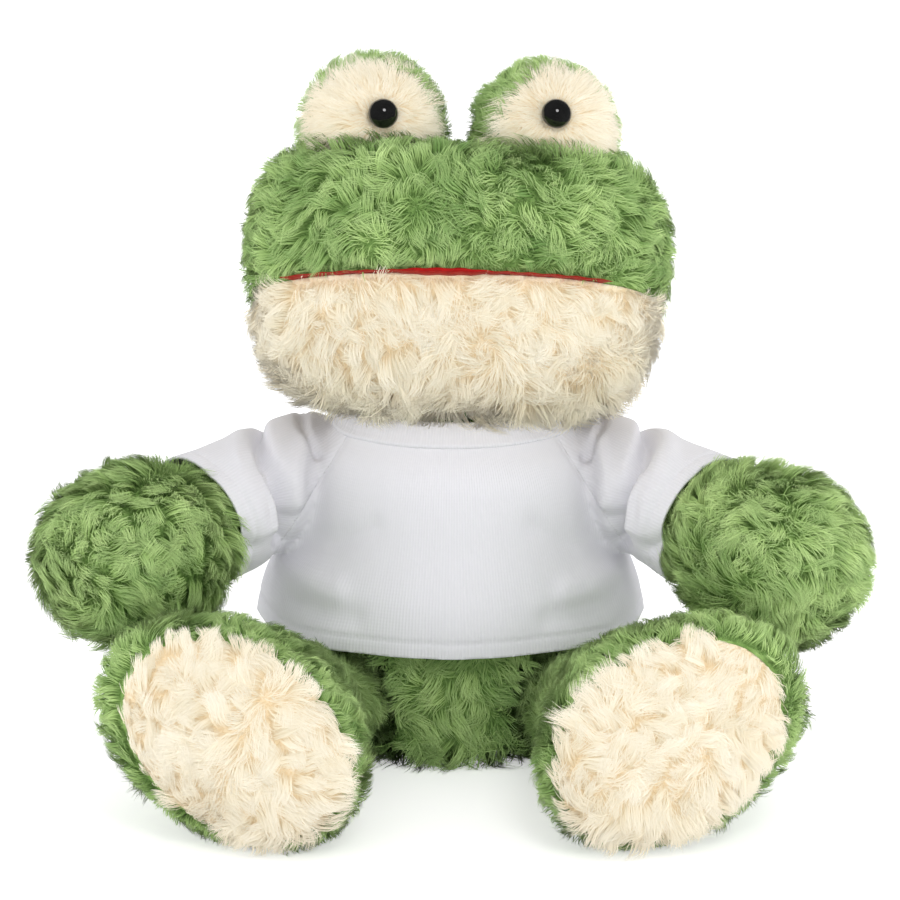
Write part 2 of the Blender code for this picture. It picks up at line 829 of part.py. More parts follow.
def shirt_rings(inset):
    """Rings from hem to neckline; the folds fade out up the shirt."""
    made = []
    rise = SHIRT_NECK_HEIGHT - SHIRT_HEM_HEIGHT
    for tall, stand_off in SHIRT_SHARES:
        fold = FOLD_DEPTH * max(1 - tall / FOLD_TOP_SHARE, 0)
        height = SHIRT_HEM_HEIGHT + rise * tall
        room = GAP + CLOTH + SHIRT_EASE * stand_off - inset
        half_width, half_depth = torso_at(height)
        half_width += room
        half_depth += room
        centre = Vector((0, TORSO_BACK, height))
        points = ring(
            centre,
            Vector((half_width, 0, 0)),
            Vector((0, half_depth, 0)),
            TORSO_ROUNDNESS_SHARE,
            BODY_SEGMENTS,
        )
        moved = []
        for k, point in enumerate(points):
            angle = 2 * math.pi * k / BODY_SEGMENTS
            out = (point - centre).normalized()
            moved.append(point + out * fold * math.sin(FOLD_COUNT * angle))
        made.append(moved)
    return made


def make_shirt(sockets):
    """Front and back panels, which meet at the side seams."""
    wide = TORSO_WIDTH
    front_side = place_mesh(
        "front_side", block((-wide, -wide, -OVERRUN), (wide, SHIRT_SEAM_BACK + GAP / 2, wide))
    )
    back_side = place_mesh(
        "back_side", block((-wide, SHIRT_SEAM_BACK - GAP / 2, -OVERRUN), (wide, wide, wide))
    )
    for name, other in (("shirt_front", back_side), ("shirt_back", front_side)):
        panel = place_mesh(
            name, band(shirt_rings(0), shirt_rings(CLOTH)), None, WHITE_COLOUR, CLOTH_ROUGHNESS
        )
        cut(panel, other)
        cut(panel, *sockets, solver="MANIFOLD")


def collar_rings(inset):
    made = []
    neckline = torso_at(SHIRT_NECK_HEIGHT)
    for share in COLLAR_SHARES:
        lean = COLLAR_LEAN * share ** 2
        half_width = neckline[0] + GAP + CLOTH - lean - inset
        half_depth = neckline[1] + GAP + CLOTH - lean - inset
        centre = Vector((0, TORSO_BACK, SHIRT_NECK_HEIGHT + GAP + COLLAR_HEIGHT * share))
        made.append(
            ring(
                centre,
                Vector((half_width, 0, 0)),
                Vector((0, half_depth, 0)),
                TORSO_ROUNDNESS_SHARE,
                BODY_SEGMENTS,
            )
        )
    return made


def make_collar():
    place_mesh(
        "shirt_collar",
        band(collar_rings(0), collar_rings(COLLAR_CLOTH)),
        None,
        WHITE_COLOUR,
        CLOTH_ROUGHNESS,
    )


def make_frog():
    clear_scene()
    floor = make_floor()
    neck_place = Vector((0, TORSO_BACK, NECK_HEIGHT))
    neck_pivot = empty("neck_pivot", neck_place)
    head_pivot = empty("head_pivot", neck_place, (0, HEAD_ROLL_ANGLE, 0))
    neck_socket = place_mesh("neck_socket", ball(NECK_RADIUS + NECK_SOCKET, LIMB_SEGMENTS), neck_pivot)

    sleeve_sockets = []
    hip_sockets = []
    for side, hand in (("left", -1), ("right", 1)):
        shoulder = empty(
            "shoulder_pivot_" + side, (hand * SHOULDER_SPREAD, TORSO_BACK, SHOULDER_HEIGHT)
        )
        hip = empty("hip_pivot_" + side, (hand * HIP_SPREAD, -HIP_FORWARD, HIP_HEIGHT))
        sleeve_sockets.extend(make_sleeve_paths(side, hand, shoulder))
        hip_sockets.append(
            place_mesh("hip_socket_" + side, ball(LEG_RADIUS + HIP_SOCKET, LIMB_SEGMENTS), hip)
        )
        make_arm(side, hand, shoulder)
        make_sleeve(side, hand, shoulder)
        make_leg(side, hand, hip, floor)

    make_torso([neck_socket, *sleeve_sockets, *hip_sockets], floor)
    make_neck(neck_pivot)
    mound_sockets = []
    for side, hand in (("left", -1), ("right", 1)):
        make_mound(side, hand, head_pivot)
        socket = ball(MOUND_RADIUS + GAP, LIMB_SEGMENTS, mound_place(hand))
        mound_sockets.append(place_mesh("mound_socket_" + side, socket, head_pivot))
    make_head(head_pivot, neck_socket, mound_sockets)
    make_shirt(sleeve_sockets)
    make_collar()


make_frog()
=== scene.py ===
"""The looks of the plush frog: its pile, knitted shirt, satin mouth and glossy eyes.

Metres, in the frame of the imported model. Each soft piece is a smooth skin set in from its
solid, and its pile grows from that skin out to the solid's surface.
"""

import json
import math
from collections import namedtuple

import bmesh
import bpy
import numpy as np
from mathutils import Euler, Matrix, Vector
from mathutils.bvhtree import BVHTree
from mathutils.kdtree import KDTree


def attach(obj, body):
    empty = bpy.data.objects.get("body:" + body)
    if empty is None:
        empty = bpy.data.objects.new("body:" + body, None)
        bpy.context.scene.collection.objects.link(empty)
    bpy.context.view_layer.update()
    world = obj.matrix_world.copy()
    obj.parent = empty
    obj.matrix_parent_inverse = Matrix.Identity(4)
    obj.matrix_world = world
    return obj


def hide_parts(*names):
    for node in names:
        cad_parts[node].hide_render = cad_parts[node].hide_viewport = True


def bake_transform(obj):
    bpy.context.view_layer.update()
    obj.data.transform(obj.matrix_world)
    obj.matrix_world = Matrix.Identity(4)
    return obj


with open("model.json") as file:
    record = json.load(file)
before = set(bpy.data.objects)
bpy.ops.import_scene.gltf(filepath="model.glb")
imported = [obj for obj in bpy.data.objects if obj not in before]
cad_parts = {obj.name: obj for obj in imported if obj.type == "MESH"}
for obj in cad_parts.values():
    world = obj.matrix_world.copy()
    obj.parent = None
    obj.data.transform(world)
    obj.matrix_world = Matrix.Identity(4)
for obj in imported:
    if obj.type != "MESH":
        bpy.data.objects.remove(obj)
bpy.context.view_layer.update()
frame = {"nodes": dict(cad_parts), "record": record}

# The photograph's camera
PHOTO_SIDE = 900
FOCAL_PIXELS = 4160
SENSOR = 36.0
CAMERA_DISTANCE = 1.3
CAMERA_ELEVATION = math.radians(14.0)
CAMERA_TARGET = Vector((-0.0006, 0.0, 0.0905))

# Angles of the head's seams, as the solids have them
HEAD_ROLL = math.radians(2.0)
SEAM_TILT = math.radians(21.0)
SEAM_ROLL = math.radians(1.3)
SEAM_DROP = 0.0019
PATCH_YAWS = {"left": math.radians(-4.0), "right": math.radians(12.0)}
PATCH_LEVEL = 0.0092
PATCH_PITCH = math.radians(10.0)
EYE_YAW = math.radians(9.0)
EYE_PITCHES = {"left": math.radians(22.0), "right": math.radians(27.0)}

# Limbs: the way that each points, for the right hand side
ARM_WAY = Vector((0.704, -0.679, -0.211))
LEG_WAY = Vector((0.028, -0.0765, 0.015))
SOLE_TURN = math.radians(8.0)

# Skins
VOXEL = 0.0016
FILL_VOXEL = 0.0028
SKIN_SMOOTHING = 14
FILL_SMOOTHING = 6
NECK_SMOOTHING = 4
PILE_DEPTH = 0.0046
PATCH_DEPTH = 0.0034
NECK_DEPTH = 0.003
SEAM_GAP = 0.0002
FILL_GAP = 0.0008
NECK_SEAT = 0.0248
MOUND_RADIUS = 0.023
ROUND_STEPS = 48

# Pile: a strand has three pairs of edge points and a tip, in three faces with eleven corners
STRAND_STEPS = np.array([0.0, 0.36, 0.7, 1.0])
STRAND_TAPER = np.array([1.0, 0.95, 0.66])
STRAND_CORNERS = np.array([0, 3, 4, 1, 1, 4, 5, 2, 2, 5, 6])
CORNER_STEPS = np.array([0, 0, 1, 1, 1, 1, 2, 2, 2, 2, 3])
CORNER_ASIDE = np.array([0.2, 0.8, 0.8, 0.2, 0.2, 0.8, 0.8, 0.2, 0.2, 0.8, 0.5])
FACE_STARTS = np.array([0, 4, 8])
TONES = 64
FLOOR_CLEARANCE = 0.0004
SWIRL_SIZE = 0.017
WISH_SPREAD = 0.22
SIZE_SPREAD = 0.10
PHASE_SPREAD = 0.4
ROLL_SPREAD = 0.4
WIDTH_SPREAD = 0.25
SWAY = 0.15
SWAY_TURN = 4.2
BESIDE_GUIDE = 0.22
ROUNDNESS = 0.7
OWN_SHADE = 0.24
LIFT_SHADE = 0.15
CLUMP_TONES = 0.15
STRAND_TONES = 0.11
SPOT_TONES = 0.20
SPOT_SIZE = 0.013
THROUGH_GREEN = 0.03
THROUGH_CREAM = 0.10

# Shirt
CLOTH = 0.0009
CLOTH_VOXEL = 0.0017
CLOTH_SMOOTHING = 16
DRAPE_STEPS = 96
DRAPE_ROWS = 26
SLEEVE_RADIUS = 0.0176
SLEEVE_HEM_RADIUS = 0.0201
SLEEVE_LENGTH = 0.0425
HEM_HEIGHT = 0.0385
NECKLINE_HEIGHT = 0.0998
COLLAR_TOP = 0.1062
TORSO_MIDDLE = 0.002
COLLAR_REACH = (0.0369, 0.0356)
NECKLINE_SHARE = 0.97
COLLAR_SEGMENTS = 288
RAGLAN_TOP = Vector((0.0330, 0.0, 0.0980))
RAGLAN_END = Vector((0.0535, 0.0, 0.0650))
HEM_BAND = 0.0047
# Folds on the right hand side of the front: a line of (x, z), its height and its width
FOLDS = (
    (((0.061, 0.100), (0.0555, 0.091), (0.052, 0.083), (0.0505, 0.075), (0.0525, 0.067)), -0.0058, 0.0018),
    (((0.0565, 0.090), (0.0545, 0.082), (0.0545, 0.074)), 0.0016, 0.0016),
    (((0.045, 0.097), (0.0475, 0.089), (0.0475, 0.080)), 0.0018, 0.0024),
    (((0.047, 0.101), (0.0415, 0.092)), -0.0022, 0.0012),
    (((0.066, 0.095), (0.0595, 0.084), (0.0575, 0.074)), 0.0018, 0.0028),
    (((0.074, 0.091), (0.068, 0.079), (0.061, 0.069)), -0.0018, 0.0022),
    (((0.050, 0.064), (0.036, 0.069), (0.024, 0.076)), -0.0011, 0.0036),
    (((0.052, 0.058), (0.036, 0.056)), 0.0012, 0.0036),
    (((0.049, 0.050), (0.030, 0.049)), -0.0011, 0.0036),
)
SIDE_SEAM = 0.004
WALE = 0.0010
# How deep and wide the dips along the raglan seams and the hems' stitches are
RAGLAN_DIP = (0.0005, 0.0008)
HEM_DIP = (0.0004, 0.0006)
# Radii that the knit's map is measured round
TORSO_ROUND = 0.052
COLLAR_ROUND = 0.038
SLEEVE_ROUND = 0.020

# Eyes and mouth
EYE_RADIUS = 0.0046
EYE_HEIGHT = 0.0037
EYE_RINGS = 13
POST_RADIUS = 0.0015
MOUTH_LEFT = -0.0525
MOUTH_RIGHT = 0.0475
MOUTH_STEPS = 90
MOUTH_POINTS = 10
MOUTH_HEIGHT = 0.0009
MOUTH_DEPTH = 0.0060
# How far pile keeps from the seam of crown and muzzle, from the mouth, and from a mound's middle
CROWN_CLEAR = 0.0005
MUZZLE_CLEAR = 0.0006
MOUTH_CLEAR = 0.0008
MOUND_CLEAR = 0.0195
# How far the green pile comes over each patch, and where most: across and up
HAIR_LINES = {"left": (0.0015, 0.3, 0.95), "right": (0.0050, 0.75, 0.65)}

# Colours
# Pile colours from root to middle to tip: the darker, warmer roots are painted shade deep in the pile, the
# lighter tips painted light
GREEN = ((0.130, 0.245, 0.060), (0.370, 0.560, 0.185), (0.560, 0.760, 0.325))
CREAM = ((0.900, 0.720, 0.460), (0.975, 0.895, 0.720), (0.995, 0.955, 0.840))
JERSEY = (0.737, 0.732, 0.778)
RED = (0.44, 0.008, 0.008)
BLACK = (0.004, 0.004, 0.004)
EYE_SHEEN = (0.010, 0.010, 0.010)
FIBRE = (0.86, 0.86, 0.84)
NYLON = (0.78, 0.78, 0.75)
FLOOR = (0.92, 0.92, 0.92, 1)
WHITE = (1, 1, 1, 1)

# Light: the floor's own glow and the world's, and each lamp's place, width and power
FLOOR_GLOW = 0.45
AMBIENT = 0.80
REFLECTED = 0.12
LAMPS = {
    "key": ((0.30, -1.1, 1.15), 0.45, 3.6),
    "front": ((0.0, -1.7, 0.16), 0.9, 4.2),
    "low": ((0.0, -1.0, 0.09), 0.16, 0.35),
    "left": ((-1.3, -0.4, 0.3), 0.9, 5.9),
    "right": ((1.3, -0.4, 0.3), 0.9, 5.9),
    "rim": ((0.2, 1.1, 1.1), 0.8, 3.0),
}

NODES = frame["nodes"]
PIVOTS = {joint["name"]: Vector(joint["pos_m"]) for joint in frame["record"]["behaviour"]["joints"]}
SIDES = {"left": -1, "right": 1}
ROLL = Matrix.Rotation(HEAD_ROLL, 3, "Y")
UP = Vector((0, 0, 1))
MATERIALS = {}


# Small helpers


def facing(yaw, pitch):
    """The direction out of the rolled head, from a face that looks along -Y."""
    level = math.cos(pitch)
    return ROLL @ Vector((math.sin(yaw) * level, -math.cos(yaw) * level, math.sin(pitch)))


def mirrored(place, hand):
    """A place on the right hand side, or its like on the left."""
    return Vector((hand * place.x, place.y, place.z))


def values_of(mesh, name):
    flat = np.empty(len(mesh.vertices) * 3)
    mesh.vertices.foreach_get(name, flat)
    return flat.reshape(-1, 3)


def points_of(mesh):
    return values_of(mesh, "co")


def normals_of(mesh):
    return values_of(mesh, "normal")


def solid_points(node):
    return points_of(NODES[node].data)


def set_points(mesh, points):
    mesh.vertices.foreach_set("co", np.asarray(points, dtype=np.float32).ravel())
    mesh.update()


def adjusted(thing, **settings):
    for key, value in settings.items():
        setattr(thing, key, value)
    return thing


def unit(vectors):
    return vectors / np.maximum(np.linalg.norm(vectors, axis=-1, keepdims=True), 1e-9)


def smoothstep(value, low, high):
    t = np.clip((value - low) / (high - low), 0, 1)
    return t * t * (3 - 2 * t)


def bell(value, width):
    """1 at 0, and next to nothing beyond twice the width."""
    return np.exp(-((value / width) ** 2))


def waves(points, size, seed, count=6):
    """Smooth noise of three values a point, each about -1 to 1, in bumps of that size."""
    rng = np.random.default_rng(seed)
    total = np.empty((len(points), 3))
    for axis in range(3):
        turns = unit(rng.normal(size=(count, 3))) * rng.uniform(0.6, 1.5, (count, 1)) * math.pi / size
        phases = rng.uniform(0, 2 * math.pi, count)
        total[:, axis] = np.sin(points @ turns.T + phases).mean(axis=1) * 1.7
    return total


def distance(points, place):
    return np.linalg.norm(points - np.array(place), axis=1)


def how_far(points, way, start=(0, 0, 0)):
    """How far each point lies along a direction from the start."""
    return (points - np.array(start)) @ np.array(way)


def away_level(points, centre):
    """The level direction from an upright axis to each point."""
    return unit((points - np.array((*centre[:2], 0))) * (1, 1, 0))


def span(node, direction):
    """The lowest and the highest place of a solid along a direction."""
    places = how_far(solid_points(node), direction)
    return float(places.min()), float(places.max())


# Materials


def feed(tree, node, inputs):
    """Give each input named a fixed value or another node's output."""
    for socket, value in inputs.items():
        if isinstance(value, bpy.types.NodeSocket):
            tree.links.new(value, node.inputs[socket])
        else:
            node.inputs[socket].default_value = value


def node_of(tree, kind, inputs=None, **settings):
    """A shader node with its settings and what its inputs get."""
    node = adjusted(tree.nodes.new("ShaderNode" + kind), **settings)
    feed(tree, node, inputs or {})
    return node


def shader_of(name, roughness, sheen=0.0, specular=0.5, coat=0.0):
    """The tree and the shader of a new material."""
    made = MATERIALS[name] = bpy.data.materials.new(name)
    made.use_nodes = True
    tree = made.node_tree
    shader = tree.nodes["Principled BSDF"]
    feed(tree, shader, {"Roughness": roughness, "Specular IOR Level": specular, "Coat Weight": coat})
    feed(tree, shader, {"Sheen Weight": sheen, "Sheen Roughness": 0.4})
    return tree, shader


def ramp(tree, value, stops):
    """A colour that goes by a value, through (place, colour) pairs."""
    node = node_of(tree, "ValToRGB", {0: value})
    while len(node.color_ramp.elements) < len(stops):
        node.color_ramp.elements.new(0.5)
    for element, (place, colour) in zip(node.color_ramp.elements, stops):
        adjusted(element, position=place, color=(*colour, 1.0))
    return node.outputs[0]


def maths(tree, kind, *values):
    return node_of(tree, "Math", dict(enumerate(values)), operation=kind).outputs[0]


def map_axes(tree, name):
    """The two values of a UV map."""
    place = node_of(tree, "UVMap", uv_map=name)
    return node_of(tree, "SeparateXYZ", {0: place.outputs[0]}).outputs[:2]


def pile_material(name, colours, dark, light, through):
    """Each strand has its own tone by its column of the map, and goes from root to tip along it: painted
    shade at the root to painted light at the tip.
    """
    tree, shader = shader_of(name, 0.7, sheen=0.15, specular=0.12)
    aside, along = map_axes(tree, "OFBake")
    root, middle, tip = colours
    tint = ramp(tree, along, ((0.0, root), (0.4, middle), (1.0, tip)))
    column = maths(tree, "FLOOR", maths(tree, "MULTIPLY", aside, TONES))
    tone = ramp(tree, maths(tree, "DIVIDE", column, TONES - 1.0), ((0.0, dark), (1.0, light)))
    mix = node_of(tree, "Mix", {0: 1.0, 6: tint, 7: tone}, data_type="RGBA", blend_type="MULTIPLY")
    feed(tree, shader, {"Base Color": mix.outputs[2], "Sheen Tint": (*middle, 1.0)})
    both_sides(tree, shader, mix.outputs[2], through)


def both_sides(tree, shader, colour, share):
    """Light a strand's back as its front, and let a share of the light through it."""
    geometry = node_of(tree, "NewGeometry").outputs
    turned = maths(tree, "MULTIPLY_ADD", geometry["Backfacing"], -2.0, 1.0)
    steadied = node_of(tree, "VectorMath", {0: geometry["Normal"], "Scale": turned}, operation="SCALE")
    feed(tree, shader, {"Normal": steadied.outputs[0]})
    through = node_of(tree, "BsdfTranslucent", {"Color": colour})
    joined = node_of(tree, "MixShader", {0: share, 1: shader.outputs[0], 2: through.outputs[0]})
    feed(tree, tree.nodes["Material Output"], {"Surface": joined.outputs[0]})


def bump(tree, shader, height, strength, depth):
    node = node_of(tree, "Bump", {"Strength": strength, "Distance": depth, "Height": height})
    feed(tree, shader, {"Normal": node.outputs[0]})


def noise(tree, scale, detail=3.0):
    place = node_of(tree, "TexCoord").outputs["Object"]
    return node_of(tree, "TexNoise", {"Scale": scale, "Detail": detail, "Vector": place}).outputs[0]


def shades(colour, share, low=0.3, high=0.7):
    """From a share of the colour to all of it."""
    return (low, tuple(share * part for part in colour)), (high, colour)


def mottled(name, roughness, stops, scale, detail=3.0, bumps=None, **gloss):
    """A material in spots of two shades, with finer bumps where given: scale, strength, depth."""
    tree, shader = shader_of(name, roughness, **gloss)
    feed(tree, shader, {"Base Color": ramp(tree, noise(tree, scale, detail), stops)})
    if bumps:
        bump(tree, shader, noise(tree, bumps[0], detail), *bumps[1:])


def skin_material(name, colours):
    """The woven backing under the pile, in the pile's root and middle colours: painted shade, as dark as
    it looks deep between the strands.
    """
    stops = ((0.25, colours[0]), (0.8, colours[1]))
    mottled(name, 0.95, stops, 380.0, bumps=(900.0, 0.6, 0.0008), specular=0.1)


def jersey_material():
    """Single jersey: narrow wales up the cloth with short stitches across them."""
    tree, shader = shader_of("white_jersey", 0.85, sheen=0.35, specular=0.2)
    across, up = (
        maths(tree, "SINE", maths(tree, "MULTIPLY", axis, 2 * math.pi / WALE))
        for axis in map_axes(tree, "Knit")
    )
    bump(tree, shader, maths(tree, "ADD", across, maths(tree, "MULTIPLY", up, 0.15)), 0.2, 0.0002)
    spread = maths(tree, "MULTIPLY_ADD", across, 0.5, 0.5)
    spots = maths(tree, "SUBTRACT", noise(tree, 700.0), 0.5)
    tint = ramp(tree, maths(tree, "ADD", spread, spots), shades(JERSEY, 0.96, 0.0, 1.0))
    feed(tree, shader, {"Base Color": tint})


def make_materials():
    pile_material("green_pile", GREEN, (0.44, 0.54, 0.42), (1.22, 1.16, 1.20), THROUGH_GREEN)
    pile_material("cream_pile", CREAM, (0.93, 0.90, 0.83), (1.03, 1.03, 1.03), THROUGH_CREAM)
    skin_material("green_skin", GREEN)
    skin_material("cream_skin", CREAM)
    jersey_material()
    mottled("red_satin", 0.5, shades(RED, 0.7), 500.0, bumps=(1400.0, 0.25, 0.0002), specular=0.1)
    mottled("eye_black", 0.05, ((0.4, BLACK), (0.8, EYE_SHEEN)), 300.0, coat=0.5)
    lumps = (420.0, 0.8, 0.001)
    mottled("fibre_fill", 0.9, shades(FIBRE, 0.85), 260.0, 6.0, lumps, sheen=0.4, specular=0.15)
    mottled("washer_nylon", 0.4, shades(NYLON, 0.95), 200.0, specular=0.4)


# Meshes


def linked(name, mesh):
    made = bpy.data.objects.new(name, mesh)
    bpy.context.scene.collection.objects.link(made)
    return made


def modified(mesh, *steps):
    """The mesh after the given modifiers, each a kind and its settings."""
    holder = linked("holder", mesh)
    for kind, settings in steps:
        adjusted(holder.modifiers.new(kind, kind), **settings)
    bpy.context.view_layer.update()
    made = bpy.data.meshes.new_from_object(holder.evaluated_get(bpy.context.evaluated_depsgraph_get()))
    bpy.data.objects.remove(holder, do_unlink=True)
    return made


def from_bmesh(name, bm):
    bmesh.ops.recalc_face_normals(bm, faces=bm.faces)
    mesh = bpy.data.meshes.new(name)
    bm.to_mesh(mesh)
    bm.free()
    mesh.shade_smooth()
    return mesh


def bmesh_of(*meshes):
    bm = bmesh.new()
    for mesh in meshes:
        bm.from_mesh(mesh)
    return bm


def solids_of(nodes):
    return bmesh_of(*(NODES[node].data for node in nodes))


def tree_from(bm):
    tree = BVHTree.FromBMesh(bm)
    bm.free()
    return tree


def lathe(bm, profile, start, way):
    """A round row of points about a line for each radius and height."""
    turn = way.to_track_quat("Z", "Y").to_matrix()
    rows = []
    for radius, height in profile:
        row = []
        for k in range(ROUND_STEPS):
            angle = 2 * math.pi * k / ROUND_STEPS
            local = Vector((radius * math.cos(angle), radius * math.sin(angle), height))
            row.append(bm.verts.new(start + turn @ local))
        rows.append(row)
    return rows


def bridged(bm, rows):
    """Faces from each closed row of points to the next."""
    for low, high in zip(rows, rows[1:]):
        for k, point in enumerate(low):
            after = (k + 1) % len(low)
            bm.faces.new((point, low[after], high[after], high[k]))


def capped(bm, rows):
    """Faces between the rows, and one over each end."""
    bridged(bm, rows)
    bm.faces.new(reversed(rows[0]))
    bm.faces.new(rows[-1])


def piece(name, mesh, material, body, node=None):
    """A shown piece, which rides on a body if one is given, and may stand for a node."""
    mesh.materials.clear()
    mesh.materials.append(MATERIALS[material])
    made = linked(name, mesh)
    if body:
        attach(made, body)
    if node:
        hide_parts(node)
    return made


def skin_piece(name, mesh, colour, body, node):
    """The plush of that colour in place of the node, under its pile."""
    piece(name, mesh, colour + "_skin", body, node)


def largest_part(mesh):
    """The mesh without the pieces that lie inside its largest one."""
    bm = bmesh_of(mesh)
    best, seen = [], set()
    for start in bm.verts:
        if start in seen:
            continue
        part = [start]
        seen.add(start)
        for vert in part:
            fresh = {edge.other_vert(vert) for edge in vert.link_edges} - seen
            seen |= fresh
            part += fresh
        best = max(best, part, key=len)
    kept = set(best)
    bmesh.ops.delete(bm, geom=[v for v in bm.verts if v not in kept], context="VERTS")
    return from_bmesh("form", bm)


def remeshed(bm, voxel=VOXEL, smoothing=SKIN_SMOOTHING):
    """The closed outline of all that the bmesh holds, in small even faces, smoothed."""
    return modified(
        from_bmesh("solids", bm),
        ("REMESH", {"mode": "VOXEL", "voxel_size": voxel}),
        ("SMOOTH", {"factor": 0.5, "iterations": smoothing}),
    )


def outer_form(nodes, *settings):
    """One smooth closed form round the given solids."""
    return largest_part(remeshed(solids_of(nodes), *settings))


def hull_form(nodes):
    """One smooth closed form round the given solids, with no hollows in it."""
    bm = solids_of(nodes)
    bmesh.ops.convex_hull(bm, input=bm.verts)
    return remeshed(bm)


def hollowed(mesh, centre, radius):
    """The mesh with a ball-shaped seat pressed into it."""
    points = points_of(mesh)
    pressed = np.array(centre) + unit(points - np.array(centre)) * radius
    set_points(mesh, np.where(distance(points, centre)[:, None] < radius, pressed, points))
    return mesh


def outside(tree, points, margin):
    """Which points lie outside the closed surface, by at least the margin."""
    found = []
    for point in points:
        hit, normal, _, _ = tree.find_nearest(point)
        found.append((Vector(point) - hit).dot(normal) > margin)
    return np.array(found, dtype=bool)


def set_in(mesh, depth):
    """A copy of the mesh whose surface lies that far inside it."""
    made = mesh.copy()
    set_points(made, points_of(mesh) - normals_of(mesh) * depth)
    return made


def kept_inside(mesh, skin):
    """Draw in what of the mesh lies outside the skin round it."""
    tree = tree_from(bmesh_of(skin))
    points = points_of(mesh)
    for number, point in enumerate(points):
        hit, normal, _, _ = tree.find_nearest(point)
        if (Vector(point) - hit).dot(normal) > -FILL_GAP:
            points[number] = hit - normal * FILL_GAP
    set_points(mesh, points)


def cut(bm, point, direction, **sides):
    every = [*bm.verts, *bm.edges, *bm.faces]
    made = bmesh.ops.bisect_plane(bm, geom=every, plane_co=point, plane_no=direction, **sides)
    return [item for item in made["geom_cut"] if isinstance(item, bmesh.types.BMEdge)]


def half(mesh, point, direction):
    """The closed part of the mesh on the side of the plane that the direction points to."""
    bm = bmesh_of(mesh)
    edges = cut(bm, point, direction, clear_inner=True)
    bmesh.ops.holes_fill(bm, edges=edges, sides=0)
    bmesh.ops.triangulate(bm, faces=[f for f in bm.faces if len(f.verts) > 4])
    return from_bmesh("half", bm)


def parted(mesh, direction, level):
    """The closed parts of the mesh before and beyond a seam that lies across the direction."""
    before = half(mesh, direction * (level - SEAM_GAP), -direction)
    beyond = half(mesh, direction * (level + SEAM_GAP), direction)
    return before, beyond


# Pile


Pile = namedtuple(
    "Pile",
    "density length rise width clump_size shade swirl turn clump bend",
    defaults=(0.5, 1.0, 1.4, 0.38, 0.6),
)
# Strands to the square millimetre, their measures in metres, how light they are, and how they lie. How
# light they are is partly painted light and shade: the torso darker as painted shade under the shirt, the
# arms and legs lighter as painted light
HEAD_PILE = Pile(2.02, 0.0060, 0.0048, 0.00028, 0.0042, swirl=1.5)
CHEEK_PILE = Pile(2.6, 0.0068, 0.0052, 0.00026, 0.0046)
EYE_PILE = Pile(7.5, 0.0078, 0.0036, 0.00019, 0.0024, swirl=0.2, turn=0.15, clump=0.3, bend=0.15)
MOUND_PILE = Pile(3.8, 0.0056, 0.0042, 0.00026, 0.0034, shade=0.6, swirl=0.7, turn=0.8)
# The arms' and legs' shades above 0.5 are painted light
PAW_PILE = Pile(3.6, 0.0064, 0.0050, 0.00025, 0.0046, shade=0.66, swirl=1.5, turn=1.1)
LEG_PILE = Pile(2.8, 0.0060, 0.0046, 0.00025, 0.0040, shade=0.56, swirl=1.3, turn=0.9)
SOLE_PILE = Pile(4.2, 0.0070, 0.0046, 0.00024, 0.0050, swirl=1.5)
# The torso's shade of 0.42 is painted shade from the shirt above it
BODY_PILE = Pile(1.85, 0.0066, 0.0048, 0.00027, 0.0044, shade=0.42, swirl=1.2)
NECK_PILE = Pile(1.2, 0.0035, 0.0026, 0.0004, 0.003)


def scatter(mesh, count, rng):
    """Points spread over the mesh with its smooth normals there."""
    mesh.calc_loop_triangles()
    corners = np.empty(len(mesh.loop_triangles) * 3, dtype=np.int64)
    mesh.loop_triangles.foreach_get("vertices", corners)
    corners = corners.reshape(-1, 3)
    places, directions = points_of(mesh)[corners], normals_of(mesh)[corners]
    edges = places[:, 1:] - places[:, :1]
    area = np.linalg.norm(np.cross(edges[:, 0], edges[:, 1]), axis=1) / 2
    total = np.cumsum(area)
    marks = (np.arange(count) + rng.random(count)) / count * total[-1]
    pick = np.minimum(np.searchsorted(total, marks), len(area) - 1)
    first = np.sqrt(rng.random(count))
    second = rng.random(count)
    shares = np.stack([1 - first, first * (1 - second), first * second], axis=1)[:, :, None]
    return (places[pick] * shares).sum(axis=1), unit((directions[pick] * shares).sum(axis=1))


def nearest(points, guides):
    tree = KDTree(len(guides))
    for number, guide in enumerate(guides):
        tree.insert(guide, number)
    tree.balance()
    return np.array([tree.find(point)[1] for point in points])


